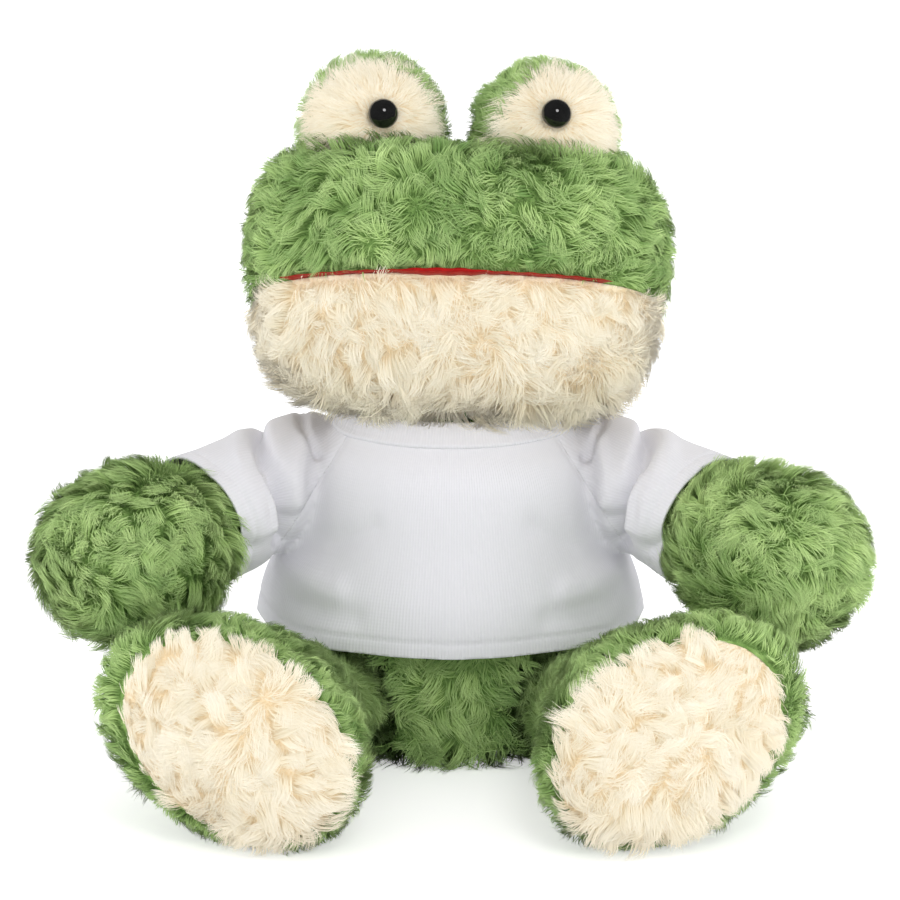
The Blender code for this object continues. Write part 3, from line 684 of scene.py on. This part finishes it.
def strands(points, normals, look, flow, reach, rng, seed):
    """The curve of each strand, pulled towards the middle of its clump."""
    count = len(points)
    wish = flow(points) + look.swirl * waves(points, SWIRL_SIZE, seed)
    wish += WISH_SPREAD * rng.normal(size=(count, 3))
    wish -= normals * (wish * normals).sum(axis=1, keepdims=True)
    ahead = unit(wish)
    aside = np.cross(normals, ahead)

    shifted = points + 0.3 * look.clump_size * waves(points, look.clump_size, seed + 1)
    cells = np.floor(shifted / look.clump_size)
    _, first = np.unique(cells.astype(int), axis=0, return_index=True)
    mine = nearest(points, points[first])

    def by_clump(low, high):
        """A random value for each clump, given to each of its strands."""
        return rng.uniform(low, high, (len(first), 1))[mine]

    size = reach[:, None] * rng.normal(1.0, SIZE_SPREAD, (count, 1))
    tall = look.rise * size * by_clump(0.7, 1.25)
    lean = look.length * size * by_clump(0.65, 1.25)
    twist = by_clump(-look.turn, look.turn)
    bend = by_clump(-look.bend, look.bend)
    ahead = unit(ahead + aside * twist)
    aside = np.cross(normals, ahead)
    phase = by_clump(0, 2 * math.pi) + rng.normal(0, PHASE_SPREAD, (count, 1))

    steps = STRAND_STEPS[None, :, None]
    rise = 1 - (1 - steps) ** 1.8
    forward = steps ** 1.35
    sway = np.sin(phase[:, None] + steps * SWAY_TURN) * steps * SWAY + bend[:, None] * steps ** 2
    curve = (
        points[:, None]
        + normals[:, None] * tall[:, None] * rise
        + ahead[:, None] * lean[:, None] * forward
        + aside[:, None] * lean[:, None] * sway
    )
    from_guide = points - points[first][mine]
    guide = curve[first][mine]
    pull = look.clump * steps ** 1.2
    curve = curve + (guide + from_guide[:, None] * BESIDE_GUIDE - curve) * pull
    curve[:, :, 2] = np.maximum(curve[:, :, 2], FLOOR_CLEARANCE)
    return curve, from_guide / look.clump_size, mine, len(first)


def ribbon_mesh(name, curve, normals, round_out, width, tone, rng):
    """Narrow tapered ribbons along the curves, mapped to one column for each tone."""
    count = len(curve)
    tangent = unit(np.gradient(curve, axis=1))
    flat = unit(np.cross(tangent, np.broadcast_to(normals[:, None], curve.shape)))
    edge = np.cross(tangent, flat)
    roll = np.clip(rng.normal(0, ROLL_SPREAD, (count, 1, 1)), -0.9, 0.9)
    across = flat * np.cos(roll) + edge * np.sin(roll)
    widths = width * rng.uniform(1 - WIDTH_SPREAD, 1 + WIDTH_SPREAD, (count, 1, 1))
    half_width = across[:, :3] * STRAND_TAPER[None, :, None] * (widths / 2)

    own = np.cross(tangent, across)
    own *= np.sign((own * normals[:, None]).sum(axis=2, keepdims=True))
    shade = normals[:, None] + ROUNDNESS * round_out[:, None] + OWN_SHADE * own + LIFT_SHADE * tangent

    def laid_out(values, aside):
        """A value for each of a strand's points: both edges, then the tip."""
        rows = [values[:, :3] - aside, values[:, :3] + aside, values[:, 3:]]
        return np.concatenate(rows, axis=1)

    points = laid_out(curve, half_width)
    corners = len(STRAND_CORNERS)
    number = np.arange(count)[:, None]
    mesh = bpy.data.meshes.new(name)
    mesh.vertices.add(count * points.shape[1])
    mesh.vertices.foreach_set("co", points.astype(np.float32).ravel())
    mesh.loops.add(count * corners)
    loops = number * points.shape[1] + STRAND_CORNERS
    mesh.loops.foreach_set("vertex_index", loops.astype(np.int32).ravel())
    mesh.polygons.add(count * len(FACE_STARTS))
    starts = number * corners + FACE_STARTS
    mesh.polygons.foreach_set("loop_start", starts.astype(np.int32).ravel())
    mesh.update(calc_edges=True)

    uv = np.empty((count, corners, 2), dtype=np.float32)
    uv[:, :, 0] = (tone[:, None] + CORNER_ASIDE) / TONES
    uv[:, :, 1] = 0.01 + 0.98 * STRAND_STEPS[CORNER_STEPS]
    mesh.uv_layers.new(name="OFBake").data.foreach_set("uv", uv.ravel())
    mesh.shade_smooth()
    mesh.normals_split_custom_set_from_vertices(laid_out(unit(shade), 0).reshape(-1, 3))
    return mesh


def grow(name, skin, look, flow, body, colour, seed, keep=None, reach=None):
    """A piece of pile on a skin."""
    rng = np.random.default_rng(seed)
    area = sum(polygon.area for polygon in skin.polygons)
    points, normals = scatter(skin, int(area * 1e6 * look.density), rng)
    if keep is not None:
        kept = keep(points)
        points, normals = points[kept], normals[kept]
    size = np.ones(len(points)) if reach is None else reach(points)
    curve, round_out, mine, clumps = strands(points, normals, look, flow, size, rng, seed)
    # The piece's shade is painted light and shade for the whole piece; the clump, strand and spot tones
    # differ at random
    tone = (
        look.shade
        + CLUMP_TONES * rng.normal(size=clumps)[mine]
        + STRAND_TONES * rng.normal(size=len(points))
        + SPOT_TONES * waves(points, SPOT_SIZE, seed + 2)[:, 0]
    )
    tone = np.floor(np.clip(tone, 0, 0.999) * TONES)
    mesh = ribbon_mesh(name, curve, normals, round_out, look.width, tone, rng)
    made = piece(name, mesh, colour + "_pile", body)
    made.visible_shadow = colour != "cream"


def outward(centre, strength):
    """A flow away from a point."""
    return lambda points: unit(points - np.array(centre)) * strength


# Head

SEAM_SLOPE = Euler((-SEAM_TILT, 0, 0)).to_matrix()
SEAM_TURN = Matrix.Rotation(SEAM_ROLL, 3, "Y") @ SEAM_SLOPE
SOLID_SEAM = ROLL @ SEAM_SLOPE @ UP
SEAM_NORMAL = SEAM_TURN @ UP
SEAM_LEVEL = SEAM_NORMAL.dot(SOLID_SEAM * span("head_crown", SOLID_SEAM)[0]) - SEAM_DROP


def above_seam(points):
    return points @ np.array(SEAM_NORMAL) - SEAM_LEVEL


def near_mouth(points):
    """1 along the mouth, 0 away from it."""
    left = smoothstep(points[:, 0], MOUTH_LEFT - 0.006, MOUTH_LEFT)
    right = smoothstep(-points[:, 0], -MOUTH_RIGHT - 0.006, -MOUTH_RIGHT)
    return left * right * (points[:, 1] < 0)


def mouth_swell(place_x):
    """1 where the mouth's strip is folded full, 0 where it is thin."""
    return np.exp(-(((place_x + 0.0035) / 0.0120) ** 4))


def make_head():
    form = hull_form(("head_crown", "muzzle"))
    inner = hollowed(set_in(form, PILE_DEPTH), PIVOTS["head_nod"], NECK_SEAT)
    muzzle, crown = parted(inner, SEAM_NORMAL, SEAM_LEVEL)
    skin_piece("crown_skin", crown, "green", "head", "head_crown")
    skin_piece("muzzle_skin", muzzle, "cream", "head", "muzzle")

    mounds = [mound_middle(side) for side in SIDES]
    neck = np.array(PIVOTS["head_turn"])

    def crown_keep(points):
        free = above_seam(points) > CROWN_CLEAR + MOUTH_CLEAR * near_mouth(points)
        for middle in mounds:
            free &= distance(points, middle) > MOUND_CLEAR
        return free

    def crown_reach(points):
        """Short over the mouth but for some tufts, and long in front of the mounds."""
        room = np.clip(above_seam(points) / 0.0080, 0.22, 1)
        hang = np.maximum(0, waves(points, 0.006, 15)[:, 0]) * (1 - mouth_swell(points[:, 0]))
        size = 1 - near_mouth(points) * (1 - np.minimum(1, room + 0.45 * hang))
        for middle in mounds:
            close = 1 - smoothstep(distance(points, middle), 0.021, 0.028)
            size *= 1 + 0.35 * close * (points[:, 1] < middle.y)
        return size

    def crown_flow(points):
        wish = np.zeros(points.shape)
        wish[:, 0] = np.sign(points[:, 0]) * smoothstep(np.abs(points[:, 0]), 0.005, 0.05) * 0.5
        wish[:, 1:] = (0.25, -0.6)
        return wish

    def muzzle_keep(points):
        free = above_seam(points) < -MUZZLE_CLEAR - MOUTH_CLEAR * near_mouth(points)
        past_neck = distance(points[:, :2], neck[:2]) > 0.026
        return free & (past_neck | (points[:, 2] > neck[2] + 0.012))

    def muzzle_reach(points):
        low = smoothstep(neck[2] + 0.026 - points[:, 2], 0, 0.014)
        return 1 + 0.4 * low - 0.35 * smoothstep(above_seam(points), -0.004, 0)

    def muzzle_flow(points):
        """Down the face, up at the thin parts of the mouth, and away from the neck."""
        low = smoothstep(neck[2] + 0.022 - points[:, 2], 0, 0.010)[:, None]
        up = smoothstep(above_seam(points), -0.0045, -0.0010)[:, None] * (1 - mouth_swell(points[:, :1]))
        return away_level(points, neck) * (0.15 + 0.5 * low) + (0, 0, 1) * (0.8 * up - 0.75)

    grow("crown_pile", inner, HEAD_PILE, crown_flow, "head", "green", 11, crown_keep, crown_reach)
    grow("muzzle_pile", inner, CHEEK_PILE, muzzle_flow, "head", "cream", 12, muzzle_keep, muzzle_reach)
    make_mouth(form)
    return inner


def mound_middle(side):
    """The middle of the ball that a mound and its patch are cut from."""
    points = solid_points("eye_mound_" + side)
    low, high = points.min(axis=0), points.max(axis=0)
    return Vector(((low[0] + high[0]) / 2, high[1] - MOUND_RADIUS, (low[2] + high[2]) / 2))


def make_mound(side, seed, head):
    front = facing(PATCH_YAWS[side], PATCH_PITCH)
    middle = mound_middle(side)
    level = middle.dot(front) + PATCH_LEVEL
    gaze = facing(EYE_YAW, EYE_PITCHES[side])
    eye = middle + gaze * MOUND_RADIUS
    form = outer_form(("eye_mound_" + side, "eye_patch_" + side, "mound_stuffing_" + side))
    inner = set_in(form, PATCH_DEPTH)
    back, patch = parted(inner, front, level)
    skin_piece("mound_skin_" + side, back, "green", "head", "eye_mound_" + side)
    skin_piece("patch_skin_" + side, patch, "cream", "head", "eye_patch_" + side)

    over, aside, up = HAIR_LINES[side]
    across = np.array(front.cross(UP).normalized())
    top = aside * across + (0, 0, up)

    def hair_line(points):
        """How far along the patch's axis the green pile comes, further on its fuller side."""
        ragged = 0.0012 * waves(points, 0.006, seed + 9)[:, 0]
        fuller = smoothstep(how_far(points, top, middle), MOUND_RADIUS * 0.4, MOUND_RADIUS * 0.8)
        return level + (over + ragged) * fuller

    def patch_keep(points):
        free = (how_far(points, front) > hair_line(points) + 0.0003) & outside(head, points, -0.001)
        return free & (distance(points, eye) > EYE_RADIUS + 0.0002)

    def patch_reach(points):
        return 0.38 + 0.62 * smoothstep(distance(points, eye), 0.005, 0.014)

    def mound_keep(points):
        return (how_far(points, front) < hair_line(points)) & outside(head, points, -0.001)

    away = outward(eye, 1.2)
    grow("patch_pile_" + side, inner, EYE_PILE, away, "head", "cream", seed, patch_keep, patch_reach)
    away = outward(middle + front * 0.02, 0.9)
    grow("mound_pile_" + side, inner, MOUND_PILE, away, "head", "green", seed + 1, mound_keep)
    make_eye(side, gaze)
    return inner


def make_eye(side, gaze):
    """The eye's glossy dome with a rounded rim, and the post behind it."""
    middle = Vector(solid_points("eye_" + side).mean(axis=0))
    foot, crown = span("eye_" + side, gaze)
    crown += 0.0004
    rim = -EYE_HEIGHT - 0.0004
    profile = [(POST_RADIUS, foot - crown), (POST_RADIUS, rim), (EYE_RADIUS * 0.9, rim)]
    for k in range(EYE_RINGS):
        angle = math.pi / 2 * k / EYE_RINGS
        profile.append((EYE_RADIUS * math.cos(angle), -EYE_HEIGHT + EYE_HEIGHT * math.sin(angle)))
    bm = bmesh.new()
    top = middle + gaze * (crown - middle.dot(gaze))
    rows = lathe(bm, profile, top, gaze)
    bridged(bm, rows)
    bm.faces.new(reversed(rows[0]))
    tip = bm.verts.new(top)
    for k, point in enumerate(rows[-1]):
        bm.faces.new((point, rows[-1][(k + 1) % ROUND_STEPS], tip))
    piece("eye_dome_" + side, from_bmesh("eye", bm), "eye_black", "head", "eye_" + side)


def make_mouth(form):
    """A folded satin strip that stands out of the seam, fuller in the middle."""
    tree = tree_from(bmesh_of(form))
    inside = SEAM_NORMAL * SEAM_LEVEL
    along = SEAM_TURN @ Vector((1, 0, 0))
    out = SEAM_TURN @ Vector((0, -1, 0))
    bm = bmesh.new()
    rows = []
    for step in range(MOUTH_STEPS + 1):
        share = step / MOUTH_STEPS
        place_x = MOUTH_LEFT + (MOUTH_RIGHT - MOUTH_LEFT) * share
        start = inside + along * (place_x - inside.x) + out * 0.045
        hit, normal, _, _ = tree.ray_cast(start, out, 0.2)
        if hit is None:
            continue
        side_out = (normal - SEAM_NORMAL * normal.dot(SEAM_NORMAL)).normalized()
        full = 0.20 + 0.80 * float(mouth_swell(place_x))
        full += 0.5 * float(bell(place_x - MOUTH_LEFT, 0.0010))
        ends = min(1, 0.5 + share * 14, (1 - share) * 14)
        tall = MOUTH_HEIGHT * full * (0.25 + 0.75 * ends)
        proud = (0.0010 * full - 0.0003) * ends
        wave = 0.00012 * math.sin(place_x * 900)
        row = []
        for k in range(MOUTH_POINTS):
            angle = math.pi * k / (MOUTH_POINTS - 1)
            forward = -MOUTH_DEPTH + (MOUTH_DEPTH + proud) * math.sin(angle) ** 0.5
            up = tall * math.cos(angle) + wave
            row.append(bm.verts.new(hit + side_out * forward + SEAM_NORMAL * up))
        rows.append(row)
    capped(bm, rows)
    piece("mouth_satin", from_bmesh("mouth", bm), "red_satin", "head", "mouth_strip")


# Limbs and torso


def arm_line(side, hand):
    """The shoulder's middle and the way that the arm points."""
    return PIVOTS[f"arm_{side}_raise"], mirrored(ARM_WAY, hand).normalized()


def make_arm(side, hand, seed):
    shoulder, way = arm_line(side, hand)
    body = "arm_" + side
    skin = set_in(outer_form((body, "arm_stuffing_" + side)), PILE_DEPTH)
    skin_piece("arm_skin_" + side, skin, "green", body, body)

    def far(points):
        return how_far(points, way, shoulder)

    def keep(points):
        return far(points) > SLEEVE_LENGTH - 0.012

    def reach(points):
        """Short inside the sleeve, longest at its hem."""
        inside = 0.48 + 0.27 * smoothstep(far(points), SLEEVE_LENGTH - 0.008, SLEEVE_LENGTH - 0.001)
        free = smoothstep(far(points), SLEEVE_LENGTH, SLEEVE_LENGTH + 0.0035)
        past = smoothstep(far(points), SLEEVE_LENGTH + 0.005, SLEEVE_LENGTH + 0.014)
        return inside * (1 - free) + (1.15 - 0.15 * past) * free

    def flow(points):
        near = 1 - smoothstep(far(points), SLEEVE_LENGTH, SLEEVE_LENGTH + 0.014)
        return np.array(way) * (0.5 - 1.1 * near[:, None]) + (0, 0, -0.3)

    grow("arm_pile_" + side, skin, PAW_PILE, flow, body, "green", seed, keep, reach)
    return skin


def make_leg(side, hand, seed):
    hip = PIVOTS[f"leg_{side}_drop"]
    way = mirrored(LEG_WAY, hand).normalized()
    rim = solid_points("sole_" + side)
    rim = Vector(rim[(rim[:, 0] * hand).argmax()])
    rim += way * (span("sole_" + side, way)[0] - rim.dot(way))
    along = Matrix.Rotation(-hand * SOLE_TURN, 3, "Z") @ way
    level = rim.dot(along)
    body = "leg_" + side
    inner = set_in(outer_form((body, "sole_" + side, "leg_stuffing_" + side)), PILE_DEPTH)
    leg, sole = parted(inner, along, level)
    skin_piece("leg_skin_" + side, leg, "green", body, body)
    skin_piece("sole_skin_" + side, sole, "cream", body, "sole_" + side)

    def beyond(points):
        """How far a point lies beyond the sole's seam."""
        return how_far(points, along) - level

    def leg_keep(points):
        return (how_far(points, along, hip) > -0.004) & (beyond(points) < -0.0004)

    def leg_reach(points):
        return 1 - 0.3 * smoothstep(beyond(points), -0.008, -0.002)

    def leg_flow(points):
        near = smoothstep(beyond(points), -0.020, -0.004)[:, None]
        return np.array(along) * (0.5 - 1.3 * near) + (0, 0, -0.25)

    def sole_keep(points):
        return beyond(points) > 0.0003

    def sole_reach(points):
        return 0.6 + 0.4 * smoothstep(beyond(points), 0.0003, 0.0035)

    grow("leg_pile_" + side, inner, LEG_PILE, leg_flow, body, "green", seed, leg_keep, leg_reach)
    away = outward(hip + along * (level - hip.dot(along)), 0.25)
    grow("sole_pile_" + side, inner, SOLE_PILE, away, body, "cream", seed + 1, sole_keep, sole_reach)
    return inner


def make_torso():
    form = outer_form(("torso_skin", "torso_stuffing"))
    skin = set_in(form, PILE_DEPTH)
    kept_inside(skin, form)
    skin_piece("torso_plush", skin, "green", "torso", "torso_skin")
    hips = [PIVOTS[f"leg_{side}_drop"] for side in SIDES]
    seat = float(distance(solid_points("torso_skin"), hips[0]).min())

    def keep(points):
        return points[:, 2] < HEM_HEIGHT + 0.009

    def spread(points):
        """1 where the weight presses the pile out along the floor, 0 higher up."""
        return 1 - smoothstep(points[:, 2], 0.005, 0.016)

    def flow(points):
        pressed = spread(points)[:, None]
        out = away_level(points, (0, TORSO_MIDDLE))
        return out * pressed * 1.2 + (0, 0, -0.7) * (1 - pressed)

    def reach(points):
        size = 1 - 0.45 * smoothstep(points[:, 2], HEM_HEIGHT - 0.006, HEM_HEIGHT + 0.004)
        size *= 1 + 0.5 * spread(points)
        for hip in hips:
            size *= 0.55 + 0.45 * smoothstep(distance(points, hip), seat, seat + 0.008)
        return size

    grow("torso_pile", skin, BODY_PILE, flow, "torso", "green", 61, keep, reach)
    return skin


def make_neck():
    skin = set_in(outer_form(("neck",), VOXEL, NECK_SMOOTHING), NECK_DEPTH)
    skin_piece("neck_skin", skin, "green", "neck", "neck")
    grow("neck_pile", skin, NECK_PILE, lambda points: np.array((0, 0, -0.7)), "neck", "green", 71)


def make_fillings(skins):
    """The loose fibre inside each skin, lumpy where it is packed."""
    for number, (node, body, skin) in enumerate(skins):
        form = outer_form((node,), FILL_VOXEL, FILL_SMOOTHING)
        points = points_of(form)
        lump = 0.0006 * waves(points, 0.009, 200 + number)[:, :1] - 0.0012
        set_points(form, points + normals_of(form) * lump)
        kept_inside(form, skin)
        made = piece(node.replace("stuffing", "fibre"), form, "fibre_fill", body, node)


# Shirt


def raglan_normal(hand):
    seam = RAGLAN_END - RAGLAN_TOP
    return Vector((-seam.z * hand, 0, seam.x)).normalized()


def drape_form(bm):
    """The shirt's outline as a closed form, run on below the hem, added to the bmesh."""
    tree = tree_from(solids_of(("shirt_front", "shirt_back", "torso_skin")))
    rows = []
    for height in np.linspace(HEM_HEIGHT + 0.0015, NECKLINE_HEIGHT - 0.0035, DRAPE_ROWS):
        row = []
        for k in range(DRAPE_STEPS):
            angle = 2 * math.pi * k / DRAPE_STEPS
            out = Vector((math.cos(angle), math.sin(angle), 0))
            hit = tree.ray_cast(Vector((0, TORSO_MIDDLE, height)) + out * 0.2, -out)[0]
            row.append(hit or rows[-1][k])
        rows.append(row)
    flare = [low + (low - high) * 2.2 for low, high in zip(rows[0], rows[1])]
    top = [Vector((point.x * 0.9, point.y * 0.9, NECKLINE_HEIGHT + 0.004)) for point in rows[-1]]
    capped(bm, [[bm.verts.new(point) for point in row] for row in (flare, *rows, top)])


def shirt_surface():
    """One smooth surface over the torso and the upper arms, open at its hems and neck."""
    bm = bmesh.new()
    drape_form(bm)
    arms = [arm_line(*side) for side in SIDES.items()]
    for shoulder, way in arms:
        inner_end = ((SLEEVE_RADIUS * 0.9, -0.012), (SLEEVE_RADIUS, 0.0))
        sleeve = ((SLEEVE_RADIUS, -0.001), (SLEEVE_HEM_RADIUS + 0.0012, SLEEVE_LENGTH + 0.008))
        for profile in (inner_end, sleeve):
            capped(bm, lathe(bm, profile, shoulder, way))
        bmesh.ops.create_icosphere(
            bm, subdivisions=3, radius=SLEEVE_RADIUS * 0.96, matrix=Matrix.Translation(shoulder)
        )
    mesh = largest_part(remeshed(bm, CLOTH_VOXEL, CLOTH_SMOOTHING))
    set_points(mesh, points_of(mesh) + normals_of(mesh) * 0.0006)
    return modified(mesh, ("SUBSURF", {"levels": 1, "render_levels": 1})), arms


def near_line(points, hand, line):
    """How near each point is to a line drawn on the front of the shirt, in metres."""
    place = np.stack([points[:, 0] * hand, points[:, 2]], axis=1)
    near = np.full(len(points), 1.0)
    for start, end in zip(line, line[1:]):
        start, end = np.array(start), np.array(end)
        way = end - start
        share = np.clip(((place - start) @ way) / (way @ way), 0, 1)
        gap = np.linalg.norm(place - start - share[:, None] * way, axis=1)
        near = np.minimum(near, gap)
    return near


def fold_shirt(mesh, arms):
    """Folds that gather at each armpit, a soft drape, and the dip along each seam."""
    points = points_of(mesh)
    ahead = smoothstep(-points[:, 1], -0.006, 0.008)
    folded = ahead + 0.5 * (1 - ahead)
    move = 0.0008 * waves(points, 0.030, 301)[:, 0] * smoothstep(points[:, 2], 0.100, 0.085)
    for (shoulder, along), hand in zip(arms, SIDES.values()):
        beyond = how_far(points, raglan_normal(hand), mirrored(RAGLAN_TOP, hand))
        own = points[:, 0] * hand > 0.012
        wander = 0.0010 * waves(points, 0.016, 310 + hand)[:, 0]
        for line, depth, wide in FOLDS:
            gap = near_line(points, hand, line) + wander
            move += own * folded * depth * bell(gap, wide)
        move -= own * RAGLAN_DIP[0] * bell(beyond, RAGLAN_DIP[1])
        far = how_far(points, along, shoulder)
        move += own * 0.0006 * smoothstep(far, 0.018, 0.04) * waves(points, 0.011, 305 + hand)[:, 1]
        move -= own * HEM_DIP[0] * bell(far - SLEEVE_LENGTH + HEM_BAND, HEM_DIP[1])
    low = smoothstep(-points[:, 2], -0.064, -0.042)
    move += low * 0.0012 * waves(points, 0.021, 303)[:, 0]
    hem = points[:, 2] - HEM_HEIGHT
    move -= HEM_DIP[0] * bell(hem - HEM_BAND, HEM_DIP[1]) * (np.abs(points[:, 0]) < 0.07)
    set_points(mesh, points + normals_of(mesh) * move[:, None])


def near_neck(face):
    wide, deep = COLLAR_REACH
    return all(
        vert.co.z > RAGLAN_END.z
        and math.hypot(vert.co.x / wide, (vert.co.y - TORSO_MIDDLE) / deep) < NECKLINE_SHARE
        for vert in face.verts
    )


def cloth_panel(surface, cuts):
    """The surface without its neckline or what lies beyond the planes, as cloth, and its area."""
    bm = bmesh_of(surface)
    bmesh.ops.delete(bm, geom=[face for face in bm.faces if near_neck(face)], context="FACES")
    for point, direction in cuts:
        cut(bm, point, direction, clear_outer=True)
    flat = from_bmesh("panel", bm)
    area = sum(polygon.area for polygon in flat.polygons)
    return modified(flat, ("SOLIDIFY", {"thickness": CLOTH, "offset": -1.0, "use_rim": True})), area


def knit_map(mesh, across, up):
    """A map in metres: first across the wales, then along them."""
    layer = mesh.uv_layers.new(name="Knit")
    index = np.empty(len(mesh.loops), dtype=np.int32)
    mesh.loops.foreach_get("vertex_index", index)
    uv = np.stack([across[index], up[index]], axis=1)
    layer.data.foreach_set("uv", uv.astype(np.float32).ravel())


def knit_round(mesh, radius, way=1):
    """Wales that stand upright round the torso."""
    points = points_of(mesh)
    knit_map(mesh, np.arctan2(points[:, 0], -points[:, 1] * way) * radius, points[:, 2])


def make_shirt():
    surface, arms = shirt_surface()
    fold_shirt(surface, arms)
    hem = (Vector((0, 0, HEM_HEIGHT)), -UP)
    seams = [(mirrored(RAGLAN_TOP, hand), raglan_normal(hand)) for hand in SIDES.values()]

    for half_name, way in (("shirt_front", 1), ("shirt_back", -1)):
        side_seam = (Vector((0, SIDE_SEAM, 0)), Vector((0, way, 0)))
        panel, area = cloth_panel(surface, (hem, side_seam, *seams))
        knit_round(panel, TORSO_ROUND, way)
        made = piece(half_name + "_cloth", panel, "white_jersey", "torso", half_name)

    for (shoulder, along), side, (origin, out) in zip(arms, SIDES, seams):
        panel, area = cloth_panel(surface, ((shoulder + along * SLEEVE_LENGTH, along), (origin, -out)))
        local = points_of(panel) - np.array(shoulder)
        side_axis = np.array(along.cross(UP).normalized())
        up_axis = np.cross(side_axis, np.array(along))
        angle = np.arctan2(local @ side_axis, local @ up_axis)
        knit_map(panel, angle * SLEEVE_ROUND, local @ np.array(along))
        made = piece("sleeve_cloth_" + side, panel, "white_jersey", None, "sleeve_" + side)
        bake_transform(made)
    return surface


def make_collar(surface):
    """A ribbed band that stands on the neckline and leans in a little."""
    tree = tree_from(bmesh_of(surface))
    points = solid_points("shirt_collar")
    front, back = points[:, 1].min(), points[:, 1].max()
    half_width = float(np.abs(points[:, 0]).max())
    middle_y = float((back + front) / 2)
    half_depth = float((back - front) / 2)
    angles = 2 * math.pi * np.arange(COLLAR_SEGMENTS) / COLLAR_SEGMENTS
    across, deep = (np.sign(wave) * np.abs(wave) ** 0.92 for wave in (np.cos(angles), np.sin(angles)))
    foot = []
    for x, y in zip(across * (half_width + 0.001), middle_y + deep * (half_depth + 0.001)):
        hit = tree.ray_cast(Vector((x, y, 0.13)), -UP)[0]
        foot.append(hit.z if hit else NECKLINE_HEIGHT)
    foot = np.mean([np.roll(foot, shift) for shift in range(-9, 10)], axis=0)
    ribs = 0.00016 * np.cos(angles * COLLAR_SEGMENTS / 3)
    tops = COLLAR_TOP + 0.0004 * np.sin(3 * angles + 0.7)
    outer = [(0.0014, -0.10), (0.0016, 0.03), (0.0013, 0.13), (0.0008, 0.2)]
    outer += [(0.0010 - 0.0030 * share ** 1.5, share) for share in (0.4, 0.6, 0.8, 1.0)]
    inner = [(room - 0.0014, share) for room, share in reversed(outer)]
    bm = bmesh.new()
    rows = []
    for room, share in (*outer, *inner):
        x = (half_width + room + ribs) * across
        y = middle_y + (half_depth + room + ribs) * deep
        z = foot + (tops - foot) * share
        rows.append([bm.verts.new(point) for point in zip(x, y, z)])
    bridged(bm, rows + rows[:1])
    mesh = from_bmesh("collar", bm)
    knit_round(mesh, COLLAR_ROUND)
    made = piece("collar_rib", mesh, "white_jersey", "torso", "shirt_collar")


# Floor, camera and lamps


def make_floor():
    bm = bmesh.new()
    bmesh.ops.create_grid(bm, x_segments=1, y_segments=1, size=4.0)
    mesh = from_bmesh("floor", bm)
    tree, shader = shader_of("floor", 0.9, specular=0.0)
    seen = node_of(tree, "LightPath").outputs["Is Camera Ray"]
    glow = maths(tree, "MULTIPLY", seen, FLOOR_GLOW)
    feed(tree, shader, {"Base Color": FLOOR, "Emission Color": WHITE, "Emission Strength": glow})
    mesh.materials.append(MATERIALS["floor"])
    floor = linked("floor", mesh)
    floor.visible_glossy = False


def make_world():
    world = bpy.data.worlds.new("studio")
    world.use_nodes = True
    tree = world.node_tree
    rays = node_of(tree, "LightPath").outputs
    extra = maths(tree, "MULTIPLY", rays["Is Camera Ray"], 1.0 - AMBIENT)
    less = maths(tree, "MULTIPLY", rays["Is Glossy Ray"], AMBIENT - REFLECTED)
    strength = maths(tree, "SUBTRACT", maths(tree, "ADD", extra, AMBIENT), less)
    feed(tree, tree.nodes["Background"], {"Strength": strength, "Color": WHITE})
    bpy.context.scene.world = world


def make_lamps():
    """The lamps, of which only the key shows in the eyes."""
    for name, (place, size, power) in LAMPS.items():
        data = adjusted(bpy.data.lights.new(name, "AREA"), shape="DISK", size=size, energy=power)
        made = linked(name, data)
        made.location = place
        made.rotation_euler = (Vector((0, 0, 0.1)) - Vector(place)).to_track_quat("-Z", "Y").to_euler()
        made.visible_glossy = name == "key"


def make_camera():
    lens = SENSOR * FOCAL_PIXELS / PHOTO_SIDE
    data = adjusted(bpy.data.cameras.new("camera"), sensor_width=SENSOR, lens=lens, clip_start=0.05)
    made = linked("camera", data)
    ahead = Vector((0, math.cos(CAMERA_ELEVATION), -math.sin(CAMERA_ELEVATION)))
    made.location = CAMERA_TARGET - ahead * CAMERA_DISTANCE
    made.rotation_euler = (math.pi / 2 - CAMERA_ELEVATION, 0, 0)
    bpy.context.scene.camera = made


def make_all():
    bpy.context.scene.view_settings.view_transform = "Standard"
    make_materials()
    make_camera()
    make_floor()
    make_world()
    make_lamps()
    # The washers keep their solids and get nylon's look
    for side in SIDES:
        for held in NODES["eye_washer_" + side].material_slots:
            held.material = MATERIALS["washer_nylon"]
    head = make_head()
    skins = [("head_stuffing", "head", head), ("torso_stuffing", "torso", make_torso())]
    for number, (side, hand) in enumerate(SIDES.items()):
        mound = make_mound(side, 20 + 5 * number, tree_from(bmesh_of(head)))
        skins.append(("mound_stuffing_" + side, "head", mound))
        for limb, make, seed in (("arm_", make_arm, 40), ("leg_", make_leg, 50)):
            skins.append((limb + "stuffing_" + side, limb + side, make(side, hand, seed + 5 * number)))
    make_neck()
    make_fillings(skins)
    make_collar(make_shirt())


make_all()
